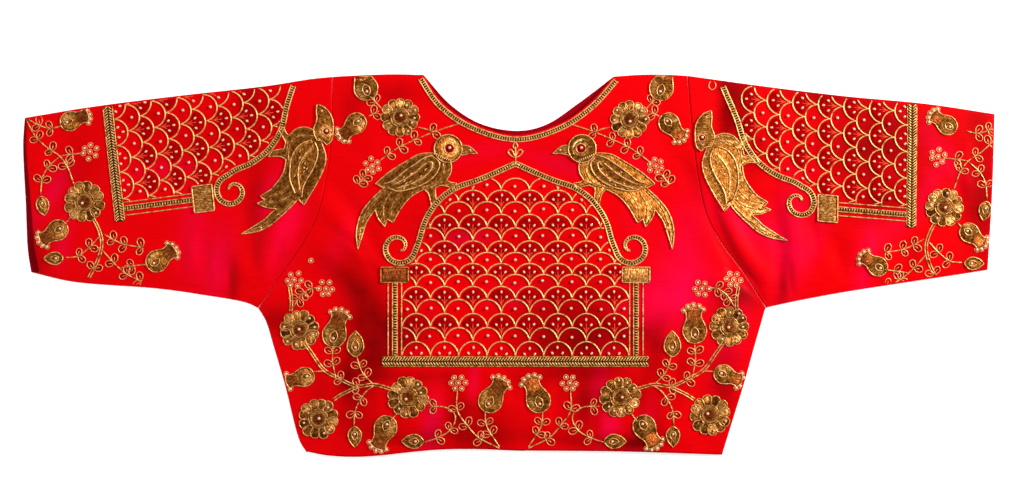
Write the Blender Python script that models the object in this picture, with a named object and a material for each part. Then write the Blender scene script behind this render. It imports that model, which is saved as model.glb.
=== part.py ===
"""A choli blouse laid flat on a table with its back upwards.

The back lies on the two fronts, each sleeve is a flattened tube, and the thick goldwork lies on the
back and the sleeves as thin pads. Plan sizes are in millimetres: x runs from cuff to cuff, y from the
hem to the neck, and z is the height above the table. "Left" and "right" are as seen from above.
"""

import math

import bmesh
import bpy
import numpy as np
from mathutils.bvhtree import BVHTree

MM = 0.001

# Cloth, and the gap between two pieces where they are sewn together
CLOTH = 1.2
SEAM = 0.3

# The two flattened layers at a pressed edge
STACK = 3.0
PANEL_ROLL = (STACK - SEAM) / 2
SLEEVE_ROLL = STACK / 2
PRESSED_DEG = 90
CUT_EDGE_DEG = 35

# Driving sizes of a bust 96 cm, length 36 cm blouse
CENTRE_X = 6.0
BACK_NECK_Y = 124.2
FRONT_NECK_Y = 128.4
SHOULDER = {"left": (-168, 180), "right": (170, 181)}
NECK_CORNER = {"left": (-81.5, 181.8), "right": (100, 180.2)}
UNDERARM = {"left": (-239, -41), "right": (245, -40.5)}
HEM_CORNER = {"left": (-193, -178.5), "right": (203.5, -181)}
CUFF_TOP = {"left": (-462.5, 141), "right": (464, 144.5)}
CUFF_FOOT = {"left": (-456.5, -7.2), "right": (457.4, -4.3)}

# Outlines between those corners
HEM = [HEM_CORNER["left"], (-174, -182), (-140, -183), (-62, -176), (22, -177), (115, -178), HEM_CORNER["right"]]
SIDE = {
    "left": [HEM_CORNER["left"], (-199.5, -168), (-214, -113), (-224, -79), (-232, -53), UNDERARM["left"]],
    "right": [HEM_CORNER["right"], (214, -147), (224.5, -113), (234, -79), UNDERARM["right"]],
}
ARMHOLE = {
    "left": [UNDERARM["left"], (-217, -9), (-197, 20), (-182.5, 48), (-175, 77), (-169.5, 115), SHOULDER["left"]],
    "right": [UNDERARM["right"], (225, -9), (203.5, 20), (188.5, 48), (181.5, 77), (176, 115), SHOULDER["right"]],
}
SHOULDER_TOP = {
    "left": [SHOULDER["left"], (-146, 181.2), (-110, 182.4), NECK_CORNER["left"]],
    "right": [NECK_CORNER["right"], (126, 182), (150, 182), SHOULDER["right"]],
}
BACK_NECK = [
    NECK_CORNER["left"],
    (-63.5, 155.7),
    (-34, 135.3),
    (8.5, BACK_NECK_Y),
    (50, 136),
    (78, 155.7),
    NECK_CORNER["right"],
]
FRONT_NECK = [
    NECK_CORNER["left"],
    (-55, 152.8),
    (-27, 135.3),
    (8, FRONT_NECK_Y),
    (36, 134.7),
    (66, 154.5),
    NECK_CORNER["right"],
]
SLEEVE_TOP = {
    "left": [SHOULDER["left"], (-188, 178), (-230, 171.4), (-314, 162), (-398, 151.4), CUFF_TOP["left"]],
    "right": [SHOULDER["right"], (190, 178.2), (232, 172.4), (316, 162), (400, 154), CUFF_TOP["right"]],
}
CUFF = {
    "left": [CUFF_TOP["left"], (-464, 116), (-461.5, 58.7), (-459.5, 12.9), CUFF_FOOT["left"]],
    "right": [CUFF_TOP["right"], (463, 110), (461.3, 62.6), (458.6, 14.8), CUFF_FOOT["right"]],
}
SLEEVE_FOOT = {
    "left": [UNDERARM["left"], (-250, -36), (-293, -28.2), (-335, -22.4), (-419, -15.6), CUFF_FOOT["left"]],
    "right": [UNDERARM["right"], (275, -34), (316, -26.3), (358, -19.6), (421, -10), CUFF_FOOT["right"]],
}
# How far the upper layer's cuff lies back from the lower one, at its top and at its foot
CUFF_SET_BACK = {"left": (2.5, 8), "right": (0.8, 0.8)}

# Where the upper layer lifts off the lower one
LOFT = 2.6
LOFT_REACH = 22
FOLD_REACH = 8
PLACKET_RISE = 2.35
FOLD_COLUMNS = ("from_x", "from_y", "to_x", "to_y", "bow", "half_width", "height")
FOLDS = (
    (186, 62, 241, -33, 6, 6, -1.7),
    (200, 66, 250, -22, 6, 9, 2.4),
    (206, 2, 240, -27, -3, 6, -1.4),
    (192, -10, 226, -46, -3, 9, 1.6),
    (252, 70, 257, -28, -3, 8, -1.6),
    (266, 62, 272, -26, -3, 10, 1.9),
    (312, 30, 322, -18, 3, 9, -1.1),
    (340, 34, 350, -14, 3, 11, 1.3),
    (-176, 88, -120, 2, -5, 8, -1.3),
    (-186, 70, -130, -22, -6, 10, 1.8),
    (-180, 58, -236, -30, 6, 8, -1.3),
    (-205, 62, -246, -20, 4, 10, 2.1),
    (-244, 40, -238, -26, 2, 7, -1.5),
    (-262, 52, -258, -20, 3, 10, 1.7),
    (-282, 20, -292, -22, 3, 8, -1.0),
    (-70, -102, -64, -176, 3, 8, 1.2),
    (-40, -104, -46, -174, -3, 8, 1.3),
    (62, -106, 58, -174, 3, 9, 1.2),
    (138, -60, 132, -150, -5, 9, -1.1),
    (148, -64, 146, -160, -4, 10, 1.4),
)

# Thick goldwork: how far it lies off the cloth, and how thick it is
PAD_LIFT = 0.3
PAD = 0.8
TRIM_WIDTH = 7.0
BORDER_WIDTH = 6.6
BAR_WIDTH = 9.0
COLUMN_WIDTH = 15.5
BLOCK_LENGTH, BLOCK_RISE = 26, 0.3

# The arch in its own frame: x across from its middle, y up from its base bar
ARCH_HALF_BASE = 127
ARCH_COLUMN_X = 115
ARCH_BLOCK_Y = 82.6
ARCH_CURVE = [(0, 188.5), (35, 173), (56, 165.7), (71, 155.3), (81, 143), (87.3, 130.5), (91.4, 116)]
SCROLL_X, SCROLL_ABOVE_BLOCK = 111, 18.8
SCROLL_RADIUS = 15.6
SCROLL_FROM_DEG, SCROLL_TURN_DEG = 193, 410

# Each arch: where its middle is, how much taller it is drawn, how far it leans sideways for each
# millimetre up, and how far from its middle its base bar and its border start. A sleeve's arch is
# folded over the top edge near its middle, so only one half shows, from just below the fold.
ARCH_COLUMNS = (
    "panel", "x", "y", "turn_deg", "scale", "rise", "lean", "block_width", "bar_from", "border_from", "halves"
)
ARCHES = {
    "back": ("back", 6.2, -91.6, 0, 1.0, 1.0, 0, 14.4, 0, 0, (-1, 1)),
    "sleeve_left": ("sleeve_left", -384, 163.6, -83.6, 0.965, 1.018, -0.016, 19.4, 13.2, 11.5, (1,)),
    "sleeve_right": ("sleeve_right", 384.5, 158.7, 89.4, 0.965, 1.0, 0.07, 19.4, 5.6, 1, (-1,)),
}

# The bird's spine in its own frame, beak first: along its back, across, half width
BIRD_SPINE = (
    (67, -19, 0.7),
    (59, -10, 4.5),
    (51, -1, 10.5),
    (41, 2, 10),
    (32, 0, 12),
    (18, 0, 16),
    (2, 0, 16.5),
    (-14, 1, 13.5),
    (-28, -1, 9.5),
    (-42, -6, 7),
    (-56, -13, 5),
    (-68, -21, 3),
    (-77, -29, 0.7),
)
BIRD_COLUMNS = ("panel", "x", "y", "turn_deg", "side")
BIRDS = {
    "back_left": ("back", -96.5, 82, 37, 1),
    "back_right": ("back", 108.5, 82, 143, -1),
    "sleeve_left": ("sleeve_left", -199, 88, 68, -1),
    "sleeve_right": ("sleeve_right", 209, 82, 112, 1),
}

FLOWER_PETALS = 12
FLOWER_DISH = 0.86
FLOWERS = {
    "shoulder_left": ("back", -103.6, 141, 18),
    "shoulder_right": ("back", 115, 139, 18),
    "side_left": ("back", -199.5, -61.5, 18.5),
    "side_right": ("back", 210, -58.5, 18.5),
    "hem_left": ("back", -181.5, -146, 19),
    "hem_right": ("back", 191.5, -142.5, 19),
    "waist_left": ("back", -96, -125.5, 19),
    "waist_right": ("back", 106, -125.5, 19),
    "cuff_left": ("sleeve_left", -404, 60.5, 19),
    "cuff_right": ("sleeve_right", 414.5, 55.5, 18),
}

# A bud from its round foot to its crown: along it, half width
BUD_PROFILE = ((-10, 0.6), (-6.5, 7.5), (0, 10), (7, 7.2), (12, 5.4), (18, 7), (20.5, 7.4))
BUD_COLUMNS = ("panel", "x", "y", "turn_deg", "scale")
BUDS = {
    "shoulder_left": ("back", -145, 136, 223, 0.85),
    "shoulder_right": ("back", 152, 136, -49, 0.85),
    "side_left": ("back", -166.5, -67, 74, 1.0),
    "side_right": ("back", 177, -63.5, 93, 1.0),
    "edge_left": ("back", -194, -106, 196, 0.8),
    "edge_right": ("back", 204, -103.5, -22, 0.8),
    "hem_left": ("back", -117, -153.5, 247, 0.95),
    "hem_right": ("back", 128.5, -153, -59, 0.95),
    "middle_left": ("back", -18, -129.5, 59, 1.0),
    "middle_right": ("back", 28.5, -129.5, 112, 1.0),
    "cuff_left_top": ("sleeve_left", -419, 137, 20, 0.8),
    "cuff_left_edge": ("sleeve_left", -429, 34, 212, 0.85),
    "cuff_left_foot": ("sleeve_left", -336, 3.5, 35, 0.9),
    "cuff_right_top": ("sleeve_right", 418.5, 133, 145, 0.8),
    "cuff_right_edge": ("sleeve_right", 438, 31.5, -40, 0.8),
    "cuff_right_foot": ("sleeve_right", 352, -1.5, 146, 0.8),
}

# The hook band down the middle of the fronts
PLACKET_HALF = 9
PLACKET_SLOPE = 13
HOOK_COUNT = 5
HOOK_SIZE = (10, 6, 0.8)

SILK_RED = (0.80, 0.005, 0.02)
ZARI_GOLD = (0.55, 0.36, 0.10)
HOOK_STEEL = (0.62, 0.62, 0.63)

LINE_STEPS = 16
ROLL_STEPS = 2


def smooth_line(points):
    """Plan points along a smooth curve through a few given ones."""
    p = np.array(points, float)
    p = np.vstack([2 * p[0] - p[1], p, 2 * p[-1] - p[-2]])
    knots = np.concatenate([[0], np.cumsum(np.sqrt(np.linalg.norm(np.diff(p, axis=0), axis=1)))])
    line = []
    for i in range(1, len(p) - 2):
        t0, t1, t2, t3 = knots[i - 1 : i + 3]
        t = np.linspace(t1, t2, LINE_STEPS, endpoint=False)[:, None]
        a1 = (t1 - t) / (t1 - t0) * p[i - 1] + (t - t0) / (t1 - t0) * p[i]
        a2 = (t2 - t) / (t2 - t1) * p[i] + (t - t1) / (t2 - t1) * p[i + 1]
        a3 = (t3 - t) / (t3 - t2) * p[i + 1] + (t - t2) / (t3 - t2) * p[i + 2]
        b1 = (t2 - t) / (t2 - t0) * a1 + (t - t0) / (t2 - t0) * a2
        b2 = (t3 - t) / (t3 - t1) * a2 + (t - t1) / (t3 - t1) * a3
        line.append((t2 - t) / (t2 - t1) * b1 + (t - t1) / (t2 - t1) * b2)
    return np.vstack([*line, p[-2:-1]])


def along(line, shares):
    """Points at these shares of a line's length."""
    length = np.concatenate([[0], np.cumsum(np.linalg.norm(np.diff(line, axis=0), axis=1))])
    at = np.asarray(shares) * length[-1]
    return np.stack([np.interp(at, length, line[:, 0]), np.interp(at, length, line[:, 1])], axis=1)


def outward(points, inside):
    """Unit normals of a row of plan points, turned away from a point inside the panel."""
    step = np.gradient(points, axis=0)
    normal = np.stack([step[:, 1], -step[:, 0]], axis=1)
    normal /= np.linalg.norm(normal, axis=1)[:, None]
    away = ((points - inside) * normal).sum(axis=1) > 0
    return np.where(away[:, None], normal, -normal)


def pinned(points, start, end):
    """The same row of points, eased over so that its ends are where two edges meet."""
    share = np.linspace(0, 1, len(points))[:, None]
    return points + (1 - share) * (start - points[0]) + share * (end - points[-1])


def blended(foot, top, left, right, across=None):
    """A grid of plan points that fills four edges; rows run from foot to top.

    across is how far each column lies from the left edge to the right one, 0 to 1.
    """
    u = (np.linspace(0, 1, len(foot)) if across is None else across)[None, :, None]
    v = np.linspace(0, 1, len(left))[:, None, None]
    corners = (1 - v) * ((1 - u) * foot[0] + u * foot[-1]) + v * ((1 - u) * top[0] + u * top[-1])
    return (1 - v) * foot[None] + v * top[None] + (1 - u) * left[:, None] + u * right[:, None] - corners


def distance_to(line, points):
    """Distance from each plan point to a line, and how far along the line its nearest point is."""
    a, b = line[:-1], line[1:]
    step = b - a
    flat = points.reshape(-1, 2)
    rel = flat[:, None, :] - a[None]
    t = np.clip((rel * step).sum(axis=2) / (step**2).sum(axis=1), 0, 1)
    gap = np.linalg.norm(rel - t[:, :, None] * step, axis=2)
    nearest = gap.argmin(axis=1)
    row = np.arange(len(flat))
    share = (nearest + t[row, nearest]) / len(a)
    shape = points.shape[:-1]
    return gap[row, nearest].reshape(shape), share.reshape(shape)


PRESSED_EDGES = [
    smooth_line(edge[side]) for edge in (SIDE, SHOULDER_TOP, SLEEVE_TOP, SLEEVE_FOOT) for side in ("left", "right")
]


def fold_line(fold):
    """The line that a fold runs along, bowed sideways in its middle."""
    start, end = np.array(fold[0:2], float), np.array(fold[2:4], float)
    across = np.array([end[1] - start[1], start[0] - end[0]]) / np.linalg.norm(end - start)
    return smooth_line([start, (start + end) / 2 + across * fold[4], end])


def upper_surface(points):
    """Height of the upper layer's outer face at plan points."""
    from_edge = np.min([distance_to(edge, points)[0] for edge in PRESSED_EDGES], axis=0)
    from_edge = np.maximum(0, from_edge - SLEEVE_ROLL)
    rise = LOFT * (1 - np.exp(-from_edge / LOFT_REACH))
    near_edge = 1 - np.exp(-from_edge / FOLD_REACH)
    for fold in FOLDS:
        half_width, height = fold[5:7]
        gap, share = distance_to(fold_line(fold), points)
        rise = rise + near_edge * height * np.exp(-((gap / half_width) ** 2)) * np.sin(np.pi * share) ** 0.7
    # The hook band under the back holds it up along the middle
    off_centre = np.abs(points[..., 0] - CENTRE_X)
    held = PLACKET_RISE * np.clip((44 - off_centre) / 14, 0, 1) * near_edge
    return STACK + np.maximum(np.maximum(rise, held), 0)


def object_from(name, mesh, colour, metallic, roughness):
    """A named object with its own material, its origin at the middle of its foot."""
    material = bpy.data.materials.new(name)
    material.use_nodes = True
    shader = material.node_tree.nodes["Principled BSDF"]
    shader.inputs["Base Color"].default_value = (*colour, 1)
    shader.inputs["Metallic"].default_value = metallic
    shader.inputs["Roughness"].default_value = roughness
    bmesh.ops.recalc_face_normals(mesh, faces=mesh.faces)
    points = np.array([v.co for v in mesh.verts])
    foot = (points.min(axis=0) + points.max(axis=0)) / 2
    foot[2] = points[:, 2].min()
    for vert in mesh.verts:
        vert.co = [c - f for c, f in zip(vert.co, foot)]
    data = bpy.data.meshes.new(name)
    mesh.to_mesh(data)
    mesh.free()
    data.materials.append(material)
    obj = bpy.data.objects.new(name, data)
    obj.location = foot
    obj.parent = bpy.data.objects["choli_blouse"]
    bpy.context.scene.collection.objects.link(obj)
    return obj


def wall(outer, inner, round_tube=False):
    """A closed wall between two grids of points. In a tube the columns join up round it."""
    mesh = bmesh.new()
    rows, columns = outer.shape[:2]
    skins = [[[mesh.verts.new(p * MM) for p in row] for row in skin] for skin in (outer, inner)]
    last = columns if round_tube else columns - 1
    for skin in skins:
        for i in range(rows - 1):
            for j in range(last):
                k = (j + 1) % columns
                mesh.faces.new((skin[i][j], skin[i][k], skin[i + 1][k], skin[i + 1][j]))
    out, back = skins
    rims = [([out[i][j] for j in range(columns)], [back[i][j] for j in range(columns)]) for i in (0, rows - 1)]
    if not round_tube:
        rims += [([out[i][j] for i in range(rows)], [back[i][j] for i in range(rows)]) for j in (0, columns - 1)]
    for a, b in rims:
        for j in range(len(a) if round_tube else len(a) - 1):
            k = (j + 1) % len(a)
            mesh.faces.new((a[j], a[k], b[k], b[j]))
    bmesh.ops.recalc_face_normals(mesh, faces=mesh.faces)
    bmesh.ops.triangulate(mesh, faces=mesh.faces)
    return mesh


def rolled_grid(flat, left, right, top, left_roll, right_roll, top_roll, roll, height, faces_up):
    """Outer and inner points of a panel whose sides and top roll round towards the layer it is sewn to.

    flat holds the plan points; left, right and top are its edges' outward normals, and each _roll is
    the angle, in degrees, that the edge turns through at each point.
    """
    rows, columns = flat.shape[:2]
    steps = [k / ROLL_STEPS for k in range(ROLL_STEPS, 0, -1)]
    column_of = [0] * ROLL_STEPS + list(range(columns)) + [columns - 1] * ROLL_STEPS
    side_of = [(left, left_roll, s) for s in steps] + [None] * columns + [(right, right_roll, s) for s in steps[::-1]]
    row_of = list(range(rows)) + [rows - 1] * ROLL_STEPS
    top_of = [None] * rows + steps[::-1]
    outer = np.zeros((len(row_of), len(column_of), 3))
    inner = np.zeros_like(outer)
    for i, (row, up) in enumerate(zip(row_of, top_of)):
        for j, (column, side) in enumerate(zip(column_of, side_of)):
            turn, shift, drop = 0, np.zeros(2), 1
            if side:
                turn = math.radians(side[1][row] * side[2])
                shift = shift + side[0][row] * math.sin(turn)
                drop = math.cos(turn)
            if up:
                turn = math.radians(top_roll[column] * up)
                shift = shift + top[column] * math.sin(turn)
                drop *= math.cos(turn)
            for skin, radius, face in ((outer, roll, 0), (inner, roll - CLOTH, CLOTH)):
                place = flat[row, column] + shift * radius
                depth = face + radius * (1 - drop)
                z = height[row, column] - depth if faces_up else height[row, column] + depth
                skin[i, j] = (*place, z)
    return outer, inner


ARMHOLE_ROWS = 14


def armhole_points(side, rows):
    """The armhole from the underarm up, ending where the shoulder's pressed edge starts."""
    line = smooth_line(ARMHOLE[side])
    length = np.linalg.norm(np.diff(line, axis=0), axis=1).sum()
    points = along(line, np.linspace(0, 1 - PANEL_ROLL / length, ARMHOLE_ROWS + 1))
    return points[:: ARMHOLE_ROWS // rows]


def torso_flat(side_rows, armhole_rows, top_edge, top_turn, left, right, foot, across=None):
    """The flat part of a body panel: its plan points, edge normals and roll angles."""
    middle = np.array([CENTRE_X, 0.0])
    sides = []
    for name, line in (("left", left), ("right", right)):
        if line is not None:
            sides.append((line, np.zeros(len(line)), np.tile([0.0, 0.0], (len(line), 1))))
            continue
        lower = along(smooth_line(SIDE[name]), np.linspace(0, 1, side_rows + 1))
        upper = armhole_points(name, armhole_rows)[1:]
        edge = np.vstack([lower, upper])
        turn = np.array([PRESSED_DEG] * side_rows + [CUT_EDGE_DEG] * (armhole_rows + 1))
        normal = np.vstack([outward(lower, middle)[:-1], outward(np.vstack([lower[-1:], upper]), middle)])
        sides.append((edge, turn, normal))
    top_normal = outward(top_edge, middle)
    (left_edge, left_turn, left_normal), (right_edge, right_turn, right_normal) = sides
    inset = lambda edge, normal, turn: edge - normal * (PANEL_ROLL * np.sin(np.radians(turn)))[:, None]
    left_in, right_in = inset(left_edge, left_normal, left_turn), inset(right_edge, right_normal, right_turn)
    top_in = inset(top_edge, top_normal, top_turn)
    corner_left = np.array([left_in[-1, 0], top_in[0, 1]])
    corner_right = np.array([right_in[-1, 0], top_in[-1, 1]])
    left_in[-1] = top_in[0] = corner_left
    right_in[-1] = top_in[-1] = corner_right
    foot_in = pinned(foot, left_in[0], right_in[0])
    grid = blended(foot_in, top_in, left_in, right_in, across)
    return grid, left_normal, right_normal, top_normal, left_turn, right_turn


BACK_SIDE_ROWS = 9
BACK_SHOULDER_COLUMNS, BACK_NECK_COLUMNS = 8, 21


def back_panel():
    """The back: one panel cut on the fold, pressed at its sides and shoulders, open at neck and hem."""
    shoulder = np.linspace(0, 1, BACK_SHOULDER_COLUMNS + 1)
    top_edge = np.vstack(
        [
            along(smooth_line(SHOULDER_TOP["left"]), shoulder),
            along(smooth_line(BACK_NECK), np.linspace(0, 1, BACK_NECK_COLUMNS + 1))[1:-1],
            along(smooth_line(SHOULDER_TOP["right"]), shoulder),
        ]
    )
    in_neck = BACK_NECK_COLUMNS - 1
    turn = np.array(
        [PRESSED_DEG] * BACK_SHOULDER_COLUMNS + [CUT_EDGE_DEG] * (in_neck + 2) + [PRESSED_DEG] * BACK_SHOULDER_COLUMNS
    )
    foot = along(smooth_line(HEM), np.linspace(0, 1, len(top_edge)))
    flat = torso_flat(BACK_SIDE_ROWS, ARMHOLE_ROWS, top_edge, turn, None, None, foot)
    grid, left, right, top, left_turn, right_turn = flat
    height = upper_surface(grid)
    outer, inner = rolled_grid(
        grid, left, right, top, left_turn, right_turn, turn, PANEL_ROLL, height, faces_up=True
    )
    return wall(outer, inner)


FRONT_SIDE_ROWS, FRONT_ARMHOLE_ROWS = 5, ARMHOLE_ROWS // 2
FRONT_SHOULDER_COLUMNS, FRONT_NECK_COLUMNS = 3, 6


def front_panel(side):
    """One front, lying on the table. The left one steps up over the right one at the hook band."""
    sign = 1 if side == "left" else -1
    edge_x = CENTRE_X + sign * PLACKET_HALF
    neck_line = smooth_line(FRONT_NECK)
    neck_line = neck_line if sign > 0 else neck_line[::-1]
    # Columns crowd together where the hook band steps up
    band = [edge_x, CENTRE_X - sign * PLACKET_HALF, CENTRE_X - sign * (PLACKET_HALF + PLACKET_SLOPE / 2)]
    band.append(CENTRE_X - sign * (PLACKET_HALF + PLACKET_SLOPE))
    start = neck_line[0, 0]
    spaced = start + (band[-1] - start) * np.linspace(0, 1, FRONT_NECK_COLUMNS + 1)
    columns_x = np.concatenate([spaced[1:], band[-2::-1]])
    order = np.argsort(neck_line[:, 0])
    neck = np.stack([columns_x, np.interp(columns_x, neck_line[order, 0], neck_line[order, 1])], axis=1)
    shoulder_line = smooth_line(SHOULDER_TOP[side])
    shoulder_line = shoulder_line if sign > 0 else shoulder_line[::-1]
    shoulder = along(shoulder_line, np.linspace(0, 1, FRONT_SHOULDER_COLUMNS + 1))
    top_edge = np.vstack([shoulder, neck])
    turn = np.array([PRESSED_DEG] * FRONT_SHOULDER_COLUMNS + [CUT_EDGE_DEG] * (len(neck) + 1))
    hem_line = smooth_line(HEM)
    corner_x = HEM_CORNER[side][0]
    share = np.linspace(0, 1, len(top_edge) - len(band) + 1)
    across = np.concatenate([share, np.ones(len(band) - 1)])
    hem_x = np.concatenate([corner_x + (band[-1] - corner_x) * share, band[-2::-1]])
    foot = np.stack([hem_x, np.interp(hem_x, hem_line[:, 0], hem_line[:, 1])], axis=1)
    rows = FRONT_SIDE_ROWS + FRONT_ARMHOLE_ROWS + 1
    middle_edge = np.stack([np.full(rows, edge_x), np.linspace(foot[-1, 1], neck[-1, 1], rows)], axis=1)
    if sign < 0:
        top_edge, turn, foot, across = top_edge[::-1], turn[::-1], foot[::-1], 1 - across[::-1]
    edges = (None, middle_edge) if sign > 0 else (middle_edge, None)
    flat = torso_flat(FRONT_SIDE_ROWS, FRONT_ARMHOLE_ROWS, top_edge, turn, *edges, foot, across)
    grid, left, right, top, left_turn, right_turn = flat
    height = np.zeros(grid.shape[:2])
    if side == "left":
        over = CLOTH + SEAM + HOOK_SIZE[2] + SEAM
        slope = np.clip((grid[..., 0] - (CENTRE_X - PLACKET_HALF - PLACKET_SLOPE)) / PLACKET_SLOPE, 0, 1)
        height = over * slope * slope * (3 - 2 * slope)
    outer, inner = rolled_grid(
        grid, left, right, top, left_turn, right_turn, turn, PANEL_ROLL, height, faces_up=False
    )
    # The middle edge is cut square, so its roll columns go
    keep = slice(0, -ROLL_STEPS) if sign > 0 else slice(ROLL_STEPS, None)
    return wall(outer[:, keep], inner[:, keep])


SLEEVE_SECTIONS = 16
SLEEVE_UPPER_COLUMNS, SLEEVE_LOWER_COLUMNS = ARMHOLE_ROWS, ARMHOLE_ROWS // 2
SLEEVE_FOLD_DEG = (45, 0, -45)


def sleeve(side):
    """A sleeve: a flattened tube in rings from the armhole to the cuff, folded along its top."""
    sections = np.linspace(0, 1, SLEEVE_SECTIONS + 1)
    armhole = armhole_points(side, SLEEVE_UPPER_COLUMNS)[::-1]
    armhole = armhole + outward(armhole, np.array([CENTRE_X, 0.0])) * SEAM
    shoulder = np.array([armhole[0, 0], SHOULDER[side][1]])
    cuff = along(smooth_line(CUFF[side]), np.linspace(0, 1, SLEEVE_UPPER_COLUMNS + 1))
    top = pinned(along(smooth_line(SLEEVE_TOP[side]), sections), shoulder, cuff[0])
    foot = pinned(along(smooth_line(SLEEVE_FOOT[side]), sections), armhole[-1], cuff[-1])
    inside = (top.mean(axis=0) + foot.mean(axis=0)) / 2
    top_out, foot_out = outward(top, inside), outward(foot, inside)
    top_in, foot_in = top - top_out * SLEEVE_ROLL, foot - foot_out * SLEEVE_ROLL
    top_in[0, 0] = armhole[0, 0]
    first, last = armhole, pinned(cuff, top_in[-1], foot_in[-1])
    first[0], first[-1] = top_in[0], foot_in[0]
    lower = blended(top_in, foot_in, first, last).transpose(1, 0, 2)
    # The upper layer's cuff lies back a little, more at its foot than at its top
    axis = (last.mean(axis=0) - first.mean(axis=0)) / np.linalg.norm(last.mean(axis=0) - first.mean(axis=0))
    set_back = np.linspace(*CUFF_SET_BACK[side], lower.shape[1])
    upper = lower - (sections**4)[:, None, None] * set_back[None, :, None] * axis
    height = upper_surface(upper)
    pick = np.linspace(lower.shape[1] - 1, 0, SLEEVE_LOWER_COLUMNS + 1).round().astype(int)
    outer, inner = [], []
    for i in range(len(sections)):
        for skin, face, radius in ((outer, 0, SLEEVE_ROLL), (inner, CLOTH, SLEEVE_ROLL - CLOTH)):
            ring = [(*p, z - face) for p, z in zip(upper[i], height[i])]
            ring += fold_points(upper[i, -1], lower[i, -1], foot_out[i], radius, SLEEVE_FOLD_DEG)
            ring += [(*lower[i, k], face) for k in pick]
            ring += fold_points(upper[i, 0], lower[i, 0], top_out[i], radius, SLEEVE_FOLD_DEG[::-1])
            skin.append(ring)
    return wall(np.array(outer), np.array(inner), round_tube=True)


def fold_points(above, below, out, radius, angles):
    """Points round the edge where the cloth turns under, between the two layers' ends."""
    points = []
    for angle in np.radians(angles):
        share = (1 + math.sin(angle)) / 2
        place = above * share + below * (1 - share) + out * radius * math.cos(angle)
        points.append((*place, SLEEVE_ROLL + radius * math.sin(angle)))
    return points


def placed(points, x, y, turn_deg, scale=1.0, side=1):
    """Points of a motif's own frame on the blouse: flipped, scaled, turned and moved."""
    turn = math.radians(turn_deg)
    p = np.array(points, float) * scale
    p[..., 1] *= side
    across = p[..., 0] * math.cos(turn) - p[..., 1] * math.sin(turn)
    up = p[..., 0] * math.sin(turn) + p[..., 1] * math.cos(turn)
    return np.stack([across + x, up + y], axis=-1)


def resting_height(panel, points):
    """Height of a panel's upper face, facets and all, at plan points."""
    heights = []
    for x, y in points.reshape(-1, 2):
        hit = panel.ray_cast((x * MM, y * MM, 1.0), (0, 0, -1))
        heights.append(hit[0][2] / MM)
    return np.array(heights).reshape(points.shape[:-1])


def clear_foot(panel, grid):
    """A pad's foot on a panel: the panel's own heights, raised where a facet would cut into a fold."""
    foot = resting_height(panel, grid)
    shares = np.linspace(0, 1, 5)
    u, v = np.meshgrid(shares, shares)
    weights = np.stack([(1 - u) * (1 - v), u * (1 - v), u * v, (1 - u) * v], axis=-1)
    for i in range(grid.shape[0] - 1):
        for j in range(grid.shape[1] - 1):
            corners = [(i, j), (i, j + 1), (i + 1, j + 1), (i + 1, j)]
            inside = sum(weights[..., k, None] * grid[c] for k, c in enumerate(corners))
            level = sum(weights[..., k] * foot[c] for k, c in enumerate(corners))
            short = (resting_height(panel, inside) - level).max()
            if short > 0:
                for c in corners:
                    foot[c] += short
    return foot


def pad(panel, grid, thickness):
    """A thin pad over a grid of plan points, its foot made from the panel's own points, moved out."""
    foot = clear_foot(panel, grid) + PAD_LIFT
    lower = np.concatenate([grid, foot[..., None]], axis=-1)
    upper = lower.copy()
    upper[..., 2] += thickness
    return wall(upper, lower)


def ribbon(line, half_widths):
    """A band of plan points either side of a line."""
    step = np.gradient(line, axis=0)
    normal = np.stack([-step[:, 1], step[:, 0]], axis=1) / np.linalg.norm(step, axis=1)[:, None]
    half = np.broadcast_to(half_widths, len(line))[:, None]
    return line + normal * half, line, line - normal * half


def band(panel, line, widths):
    """A flat braid along a line."""
    left, _, right = ribbon(line, np.asarray(widths) / 2)
    return pad(panel, np.stack([left, right], axis=1), PAD)


def padded_shape(panel, line, half_widths, thickness):
    """A raised shape along a spine, thickest down its middle."""
    left, middle, right = ribbon(line, half_widths)
    grid = np.stack([left, (left + middle) / 2, middle, (right + middle) / 2, right], axis=1)
    crown = np.tile([0.5, 0.85, 1.0, 0.85, 0.5], (len(line), 1)) * thickness
    return pad(panel, grid, crown)


def flower(panel, x, y, radius):
    """A round flower of scalloped petals, dished up at its middle."""
    angles = np.linspace(0, 2 * math.pi, 2 * FLOWER_PETALS, endpoint=False)
    reach = radius * np.where(np.arange(len(angles)) % 2, FLOWER_DISH, 1.0)
    rings = [(0.32, PAD + 0.7), (1.0, PAD)]
    points = np.stack([np.cos(angles) * reach, np.sin(angles) * reach], axis=1)
    feet = [resting_height(panel, points * share + (x, y)) for share, _ in rings]
    between = resting_height(panel, points * (rings[0][0] + rings[1][0]) / 2 + (x, y))
    clear = PAD_LIFT + max(0, (between - (feet[0] + feet[1]) / 2).max())
    mesh = bmesh.new()
    levels = []
    for lift in (1, 0):
        for (share, thickness), foot in zip(rings, feet):
            ring = points * share + (x, y)
            z = foot + clear + lift * thickness
            levels.append([mesh.verts.new((*p * MM, h * MM)) for p, h in zip(ring, z)])
    hub, rim, hub_foot, rim_foot = levels
    mesh.faces.new(hub)
    mesh.faces.new(hub_foot[::-1])
    for a, b in ((hub, rim), (rim, rim_foot), (rim_foot, hub_foot)):
        for j in range(len(a)):
            k = (j + 1) % len(a)
            mesh.faces.new((a[j], a[k], b[k], b[j]))
    return mesh


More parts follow.
